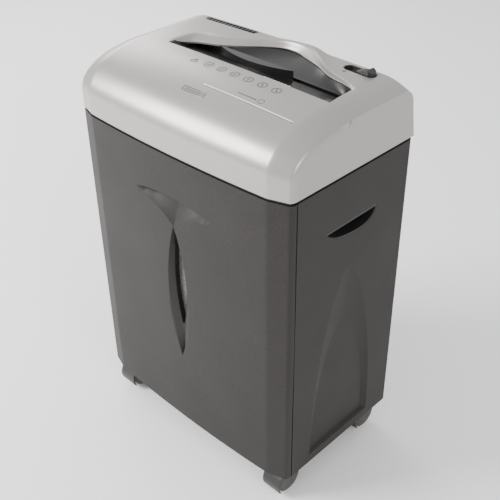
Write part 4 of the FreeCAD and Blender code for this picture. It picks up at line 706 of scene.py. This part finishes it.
@dataclass
class Markings:
    """Plain raised marks on the head: a triangle, six rings with simple bars, and dashes, and a painted
    highlight strip and painted shadow strip along the front groove.
    """

    shell: HeadShell
    insert: ThroatInsert
    first_x: float = -41.0
    pitch: float = 21.6
    row_y: float = -27.0
    ring: float = 5.6
    line: float = 1.15
    lift: float = 0.12
    triangle: float = 8.0
    dash: tuple[float, float, float] = (56.0, 84.0, -54.6)
    dot: tuple[float, float] = (91.0, -54.2)
    dot_radius: float = 3.6
    plate: tuple[float, float] = (7.5, -77.5)
    plate_half: tuple[float, float] = (17.0, 3.2)
    plate_lift: float = 0.42
    plate_bars: int = 7
    plate_pitch: float = 4.0
    shelf_bars: int = 8
    shelf_first: tuple[float, float] = (42.0, 0.2)
    shelf_pitch: float = 5.4
    shelf_size: tuple[float, float] = (3.2, 2.4)
    shelf_lift: float = 0.35
    backing: float = 0.25

    def band(self, name: str, path: np.ndarray, width: float, closed: bool, finish: Finish,
             lift: float | None = None) -> bpy.types.Object:
        """Flat band along a path on the head, just proud of the skin.

        The band's two edges stand half a width either side of the path.

        Args:
            name: the piece's name.
            path: x and y of the path's points.
            width: the band's width.
            closed: whether the path ends where it starts.
            finish: what it is printed in; the groove's white strip is a painted highlight and its dark strip
                a painted shadow.
            lift: how far it stands proud, in place of the usual lift.

        Returns:
            The band.
        """
        before, after = (np.roll(path, 1, 0), np.roll(path, -1, 0)) if closed else (path, path)
        along = after - before if closed else np.gradient(path, axis=0)
        along = along / np.linalg.norm(along, axis=1, keepdims=True)
        side = np.stack([-along[:, 1], along[:, 0]], axis=-1) * width / 2
        edges = np.stack([path - side, path + side], axis=1)
        if closed:
            edges = np.concatenate([edges, edges[:1]])
        proud = self.lift if lift is None else lift
        z = self.shell.height(edges[..., 0], edges[..., 1]) + proud
        points = np.concatenate([edges, z[..., None]], axis=-1)
        piece = make_piece(name, points, grid_quads(*points.shape[:2]), finish)
        thicken(piece, proud + self.backing)
        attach(piece, "cabinet")
        return piece

    def shelf_bar(self, name: str, ends: np.ndarray) -> bpy.types.Object:
        """Small pale plate on the black shelf in front of the slot.

        Args:
            name: the piece's name.
            ends: its two opposite corners in plan.

        Returns:
            The plate.
        """
        (x0, y0), (x1, y1) = ends
        outline = np.array([(x0, y0), (x1, y0), (x1, y1), (x0, y1)])
        depth = self.insert.shelf_depth(outline[:, 1])
        high = self.shell.crest(outline[:, 0]) - depth + self.shelf_lift
        piece = prism(name, np.concatenate([outline, high[:, None]], axis=1), (0.0, 0.0, -0.6), PRINT_WHITE_AND_HIGHLIGHT)
        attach(piece, "cabinet")
        return piece

    def circle(self, centre: tuple[float, float], radius: float, steps: int = 36) -> np.ndarray:
        """Points of a circle in plan, clockwise."""
        turn = -np.linspace(0.0, 2 * np.pi, steps, endpoint=False)
        return np.stack([centre[0] + radius * np.cos(turn), centre[1] + radius * np.sin(turn)], axis=-1)

    def build(self) -> list[bpy.types.Object]:
        """Make every mark.

        Returns:
            The marks.
        """
        made = []
        corners = np.array([(-0.62, -0.5), (0.0, 0.55), (0.62, -0.5), (-0.62, -0.5)]) * self.triangle
        sides = np.concatenate([np.linspace(a, b, 6, endpoint=False) for a, b in zip(corners, corners[1:])])
        sides = sides + (self.first_x, self.row_y - 1.5)
        made.append(self.band("mark_triangle", sides, self.line, True, PRINT_DARK_AND_SHADOW))
        upright = np.array([(self.first_x, self.row_y + y) for y in (-3.0, 0.6)])
        made.append(self.band("mark_triangle_bar", upright, 0.9, False, PRINT_DARK_AND_SHADOW))
        for i in range(6):
            centre = (self.first_x + self.pitch * (i + 1), self.row_y)
            ring = self.circle(centre, self.ring)
            made.append(self.band(f"mark_ring_{i}", ring, self.line, True, PRINT_DARK_AND_SHADOW))
            tilt = math.radians(38.0 + 17.0 * i)
            reach = np.linspace(-0.55, 0.55, 4)[:, None] * self.ring
            bar = np.array([[math.cos(tilt), math.sin(tilt)]]) * reach + np.array(centre)
            made.append(self.band(f"mark_bar_{i}", bar, 1.5, False, PRINT_DARK_AND_SHADOW))
        start, end, level = self.dash
        dash = np.stack([np.linspace(start, end, 8), np.full(8, level)], axis=-1)
        made.append(self.band("mark_dash", dash, 1.3, False, PRINT_DARK_AND_SHADOW))
        dot = self.circle(self.dot, self.dot_radius, 28)
        made.append(self.band("mark_small_ring", dot, 0.7, True, PRINT_DARK_AND_SHADOW))
        start, end, middle = self.shell.groove
        # Painted highlight and painted shadow: a white strip along the groove and a dark strip just in front
        # of it stand in for how light falls on the groove's walls.
        glint = np.stack([np.linspace(start + 1.0, end - 1.0, 30), np.full(30, middle)], axis=-1)
        made.append(self.band("groove_painted_highlight", glint, 1.5, False, PRINT_WHITE_AND_HIGHLIGHT, lift=0.1))
        # Painted shadow: the dark strip copies the shade on the groove's near wall.
        shade = glint - (0.0, 1.25)
        made.append(self.band("groove_shade", shade, 0.8, False, PRINT_DARK_AND_SHADOW, lift=0.08))
        plate = np.array([(-1, -1), (1, -1), (1, 1), (-1, 1)]) * self.plate_half + self.plate
        rim = np.concatenate([np.linspace(a, b, 8, endpoint=False)
                              for a, b in zip(plate, np.roll(plate, -1, 0))])
        made.append(self.band("plate_rim", rim, 1.0, True, PRINT_DARK_AND_SHADOW, lift=self.plate_lift))
        for i in range(self.plate_bars):
            at = self.plate[0] + self.plate_pitch * (i - self.plate_bars // 2)
            stroke = np.array([(at, self.plate[1] - 1.6), (at + 1.2, self.plate[1] + 1.6)])
            made.append(self.band(f"plate_bar_{i}", stroke, 1.3, False, PRINT_DARK_AND_SHADOW, lift=self.plate_lift))
        for i in range(self.shelf_bars):
            low = np.array(self.shelf_first) + (self.shelf_pitch * i, 0.0)
            made.append(self.shelf_bar(f"shelf_bar_{i}", np.array([low, low + self.shelf_size])))
        log.info("markings: %d bands", len(made))
        return made


# ------------------------------------------------------------------ bin front

@dataclass
class FrontPanel:
    """Bowed front of the bin, with its gull-shaped finger scoop and leaf-shaped window recess."""

    plan: Plan
    bottom: float
    top: float
    seam: float
    scoop_width: float = 143.0
    scoop_top: float = 56.0
    scoop_tip: float = 66.0
    scoop_low: float = 97.0
    scoop_depth: float = 12.0
    leaf_top: float = 96.0
    leaf_length: float = 210.0
    leaf_half: float = 18.0
    pane_top: float = 103.0
    pane_length: float = 156.0
    pane_half: float = 10.0
    leaf_depth: float = 6.0
    pane_depth: float = 12.5
    wall: float = 2.6
    turned_back: float = 12.0

    def leaf(self, z: np.ndarray, top: float, length: float, half: float) -> np.ndarray:
        """Half width of a leaf of two circular arcs at height z, negative past its points."""
        reach = length / 2
        radius = (reach ** 2 + half ** 2) / (2 * half)
        off = np.abs(z - (self.seam - top - reach))
        return np.sqrt(np.clip(radius ** 2 - off ** 2, 1.0, None)) - (radius - half)

    def scoop_edges(self, x: np.ndarray) -> tuple[np.ndarray, np.ndarray]:
        """Upper and lower edge of the scoop at x.

        The upper edge is a shallow arc; the lower one falls from the tips as a power curve.
        """
        half = self.scoop_width / 2
        share = np.clip(1.0 - np.abs(x) / half, 0.0, 1.0)
        tip = self.seam - self.scoop_tip
        upper = tip + (self.scoop_tip - self.scoop_top) * (1.0 - (1.0 - share) ** 2)
        sag = 4.0 + (self.scoop_low - self.scoop_tip - 4.0) * share ** 2.4
        lower = tip - sag * np.minimum(1.0, 4.0 * share)
        return upper, lower

    def surface(self) -> tuple[np.ndarray, np.ndarray]:
        """Front skin as a grid.

        Lines along X follow the leaf's two outlines, and lines along Z follow the scoop's
        two edges.  The skin sinks from the leaf's outer outline to its inner one and then
        straight back to the pane, and drops behind the scoop's upper edge to come forward
        again towards its lower edge.

        Returns:
            The points by column and line, and which cells are there.
        """
        half = self.plan.half
        zs = spans((self.bottom, self.bottom + 3, 2), (self.bottom + 3, 160, 30), (160, 374, 90),
                   (374, self.top - 3, 20), (self.top - 3, self.top, 2))
        tip = self.seam - self.scoop_tip
        side = spans((self.leaf_half + 3, 71.5, 32), (71.5, half - 29, 26), (half - 29, half - 3, 10),
                     (half - 3, half, 8))
        z = zs[None, :]
        outer = np.maximum(self.leaf(z, self.leaf_top, self.leaf_length, self.leaf_half), 3.2)
        inner = np.maximum(self.leaf(z, self.pane_top, self.pane_length, self.pane_half), 1.6)
        inner = np.minimum(inner, outer - 1.2)
        ramp = np.linspace(0.0, 1.0, 6)[:, None]
        bevel = inner + (outer - inner) * ramp
        settle = np.exp(-((side - self.leaf_half - 3) / 25.0))[:, None]
        out = side[:, None] - settle * (self.leaf_half - outer)
        right = np.concatenate([0 * z, inner * 0.5, inner - 0.02, bevel, out])
        x = np.concatenate([-right[:0:-1], right])
        upper, lower = self.scoop_edges(x)
        gap = ease((75.0 - np.abs(x)) / 8.0)
        upper, lower = np.maximum(upper, tip + 1.2), np.minimum(lower, tip - 1.2)
        share = np.linspace(0.0, 1.0, 22)
        block = np.concatenate([lower[:, :1] + (upper[:, :1] - lower[:, :1]) * share[None, :],
                                upper[:, :1] + 0.35], axis=1)
        cut_low, cut_high = np.searchsorted(zs, 374.0), len(zs) - 3
        below = zs[:cut_low]
        calm = ease((below - 330.0) / 44.0)[None, :]
        below_z = below[None, :] + calm * (lower[:, :1] - 374.0 - 0.8) * (below[None, :] / 374.0) ** 8
        above = np.linspace(0.0, 1.0, 16)[None, 1:]
        above_z = block[:, -1:] + (self.top - block[:, -1:]) * above
        z_all = np.concatenate([below_z, block, above_z], axis=1)
        x_low = x[:, :cut_low]
        x_all = np.concatenate([x_low, np.repeat(x[:, cut_low:cut_low + 1],
                                                 block.shape[1] + above.shape[1], axis=1)],
                               axis=1)
        depth = self.recess(x_all, z_all)
        in_block = slice(cut_low, cut_low + block.shape[1] - 1)
        rise = share[None, :]
        hollow = self.scoop_depth * gap[:, :1] * np.minimum(1.0, 1.25 * rise) ** 0.9
        width = ease((upper[:, :1] - lower[:, :1] - 2.4) / 14.0)
        depth[:, in_block] = np.maximum(depth[:, in_block], hollow * width)
        y = self.plan.front_y(x_all) + depth
        points = np.stack([x_all, y, z_all], axis=-1)
        middle = (len(x) - 1) // 2
        pane = self.leaf(z_all, self.pane_top, self.pane_length, self.pane_half) > 1.7
        keep = np.ones((len(x) - 1, z_all.shape[1] - 1), bool)
        columns = np.arange(middle - 2, middle + 2)
        keep[np.ix_(columns, np.arange(z_all.shape[1] - 1))] = ~(pane[columns][:, :-1] & pane[columns][:, 1:])
        return points, keep

    def recess(self, x: np.ndarray, z: np.ndarray) -> np.ndarray:
        """Depth of the leaf recess: a straight slope between its outlines, then straight back."""
        outer = self.leaf(z, self.leaf_top, self.leaf_length, self.leaf_half)
        inner = self.leaf(z, self.pane_top, self.pane_length, self.pane_half)
        away = np.abs(x)
        span = np.maximum(outer - np.maximum(inner, 0.0), 0.5)
        slope = self.leaf_depth * np.clip((outer - away) / span, 0.0, 1.0) * ease(outer / 4.0)
        behind = (self.pane_depth - self.leaf_depth) * (away < inner - 0.01) * (inner > 1.7)
        return slope + behind

    def build(self) -> bpy.types.Object:
        """Make the panel with its turned-back rim.

        Returns:
            The panel.
        """
        points, keep = self.surface()
        columns, lines = points.shape[:2]
        low, high = points[:, :1].copy(), points[:, -1:].copy()
        limit = self.plan.corner_y
        low[..., 1] = np.minimum(low[..., 1] + self.turned_back, limit)
        high[..., 1] = np.minimum(high[..., 1] + self.turned_back, limit)
        points = np.concatenate([low, points, high], axis=1)
        pad = np.ones((columns - 1, 1), bool)
        keep = np.concatenate([pad, keep, pad], axis=1)
        piece = make_piece("bin_front", points, grid_quads(columns, lines + 2, keep), CHARCOAL)
        thicken(piece, self.wall)
        round_edges(piece, 0.6, 50.0)
        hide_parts("bin_front_panel")
        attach(piece, "bin")
        report(piece)
        return piece


# ------------------------------------------------------------------ carried-over nodes

@dataclass
class Workings:
    """The frame's own nodes, dressed in the finish that their record names."""

    finishes: dict[str, Finish]

    def dress(self) -> None:
        """Give every node of the frame its node material."""
        for part in frame["record"]["subparts"]:
            node = frame["nodes"][part["node"]]
            finish = self.finishes[part["material_slot"]]
            if not node.material_slots:
                node.data.materials.append(finish.material())
            for place in node.material_slots:
                place.material = finish.material()


# ------------------------------------------------------------------ room

@dataclass
class Studio:
    """Pale floor, soft lights and the camera."""

    floor_half: float = 9.0
    camera_place: tuple[float, float, float] = (0.6764, -0.6678, 0.9353)
    azimuth: float = 44.62
    elevation: float = 34.57
    roll: float = -0.81
    lens: float = 61.13
    sky: float = 1.1
    lights: dict[str, tuple[tuple[float, float, float], float, float]] = field(default_factory=lambda: {
        "key": ((-1.5, -1.75, 1.6), 1.3, 120.0),
        "side": ((2.5, -0.6, 1.5), 1.0, 26.0),
        "rim": ((-2.0, 0.9, 1.3), 1.0, 20.0)})

    def floor(self) -> None:
        """Lay the pale floor."""
        span = np.linspace(-self.floor_half / MM, self.floor_half / MM, 5)
        x, y = np.meshgrid(span, span, indexing="ij")
        points = np.stack([x, y, 0 * x], axis=-1)
        piece = make_piece("studio_floor", points, grid_quads(5, 5), PALE_FLOOR)

    def light(self, name: str, place: tuple[float, float, float], size: float, power: float) -> None:
        """Hang a soft square light that faces the object.

        Args:
            name: the light's name.
            place: where it hangs, in metres.
            size: its side, in metres.
            power: its power, in watts.
        """
        lamp = bpy.data.lights.new(name, "AREA")
        lamp.size = size
        lamp.energy = power
        hung = bpy.data.objects.new(name, lamp)
        aim = Vector((0.0, 0.0, 0.3)) - Vector(place)
        hung.matrix_world = Matrix.Translation(place) @ aim.to_track_quat("-Z", "Y").to_matrix().to_4x4()
        bpy.context.scene.collection.objects.link(hung)

    def camera(self) -> None:
        """Set the camera; its axes come from its azimuth, elevation and roll."""
        turn, tilt, twist = (math.radians(a) for a in (self.azimuth, self.elevation, self.roll))
        back = Vector((math.sin(turn) * math.cos(tilt), -math.cos(turn) * math.cos(tilt), math.sin(tilt)))
        right = (-back).cross(Vector((0.0, 0.0, 1.0))).normalized()
        above = right.cross(-back)
        across = math.cos(twist) * right + math.sin(twist) * above
        upward = -math.sin(twist) * right + math.cos(twist) * above
        pose = Matrix((across, upward, back)).transposed().to_4x4()
        pose.translation = Vector(self.camera_place)
        lens = bpy.data.cameras.new("studio_camera")
        lens.lens = self.lens
        lens.sensor_width = 36.0
        lens.clip_end = 60.0
        seen = bpy.data.objects.new("studio_camera", lens)
        seen.matrix_world = pose
        bpy.context.scene.collection.objects.link(seen)
        bpy.context.scene.camera = seen

    def build(self) -> None:
        """Build the whole room."""
        world = bpy.data.worlds.new("studio")
        world.use_nodes = True
        world.node_tree.nodes["Background"].inputs["Color"].default_value = (1.0, 1.0, 1.0, 1.0)
        world.node_tree.nodes["Background"].inputs["Strength"].default_value = self.sky
        bpy.context.scene.world = world
        self.floor()
        for name, (place, size, power) in self.lights.items():
            self.light(name, place, size, power)
        self.camera()


# ------------------------------------------------------------------ everything

def in_mm(node: str) -> tuple[np.ndarray, np.ndarray]:
    """Lowest and highest corner of a frame node, in millimetres."""
    low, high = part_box(node)
    return np.array(low) / MM, np.array(high) / MM


def main() -> None:
    """Build every sub-assembly in order."""
    logging.basicConfig(level=logging.INFO, format="%(name)s: %(message)s")
    cover_low, cover_high = in_mm("top_cover")
    panel_low, panel_high = in_mm("bin_front_panel")
    seam = cover_low[2] - 3.0
    plan = Plan(half=cover_high[0], front=cover_low[1], rear=cover_high[1])
    Workings(SLOT_FINISH).dress()
    vent_low, vent_high = in_mm("vent_grille")
    switch_low, switch_high = in_mm("switch_bezel")
    lens_low, lens_high = in_mm("status_lens")
    vent = VentGrille(tuple((vent_low + vent_high)[:2] / 2), tuple((vent_high - vent_low)[:2] + 0.3))
    switch = Switch(tuple((switch_low + switch_high)[:2] / 2), tuple((switch_high - switch_low)[:2] + 0.3),
                    tuple((lens_low + lens_high)[:2] / 2), 2.6)
    shell = HeadShell(plan, bottom=cover_low[2], seam=seam, top=seam + 80.0)
    shell.build(vent, switch)
    insert = ThroatInsert(shell)
    insert.build()
    Markings(shell, insert).build()
    FrontPanel(plan, bottom=panel_low[2], top=panel_high[2], seam=seam).build()
    Studio().build()


if __name__ == "__main__":
    main()
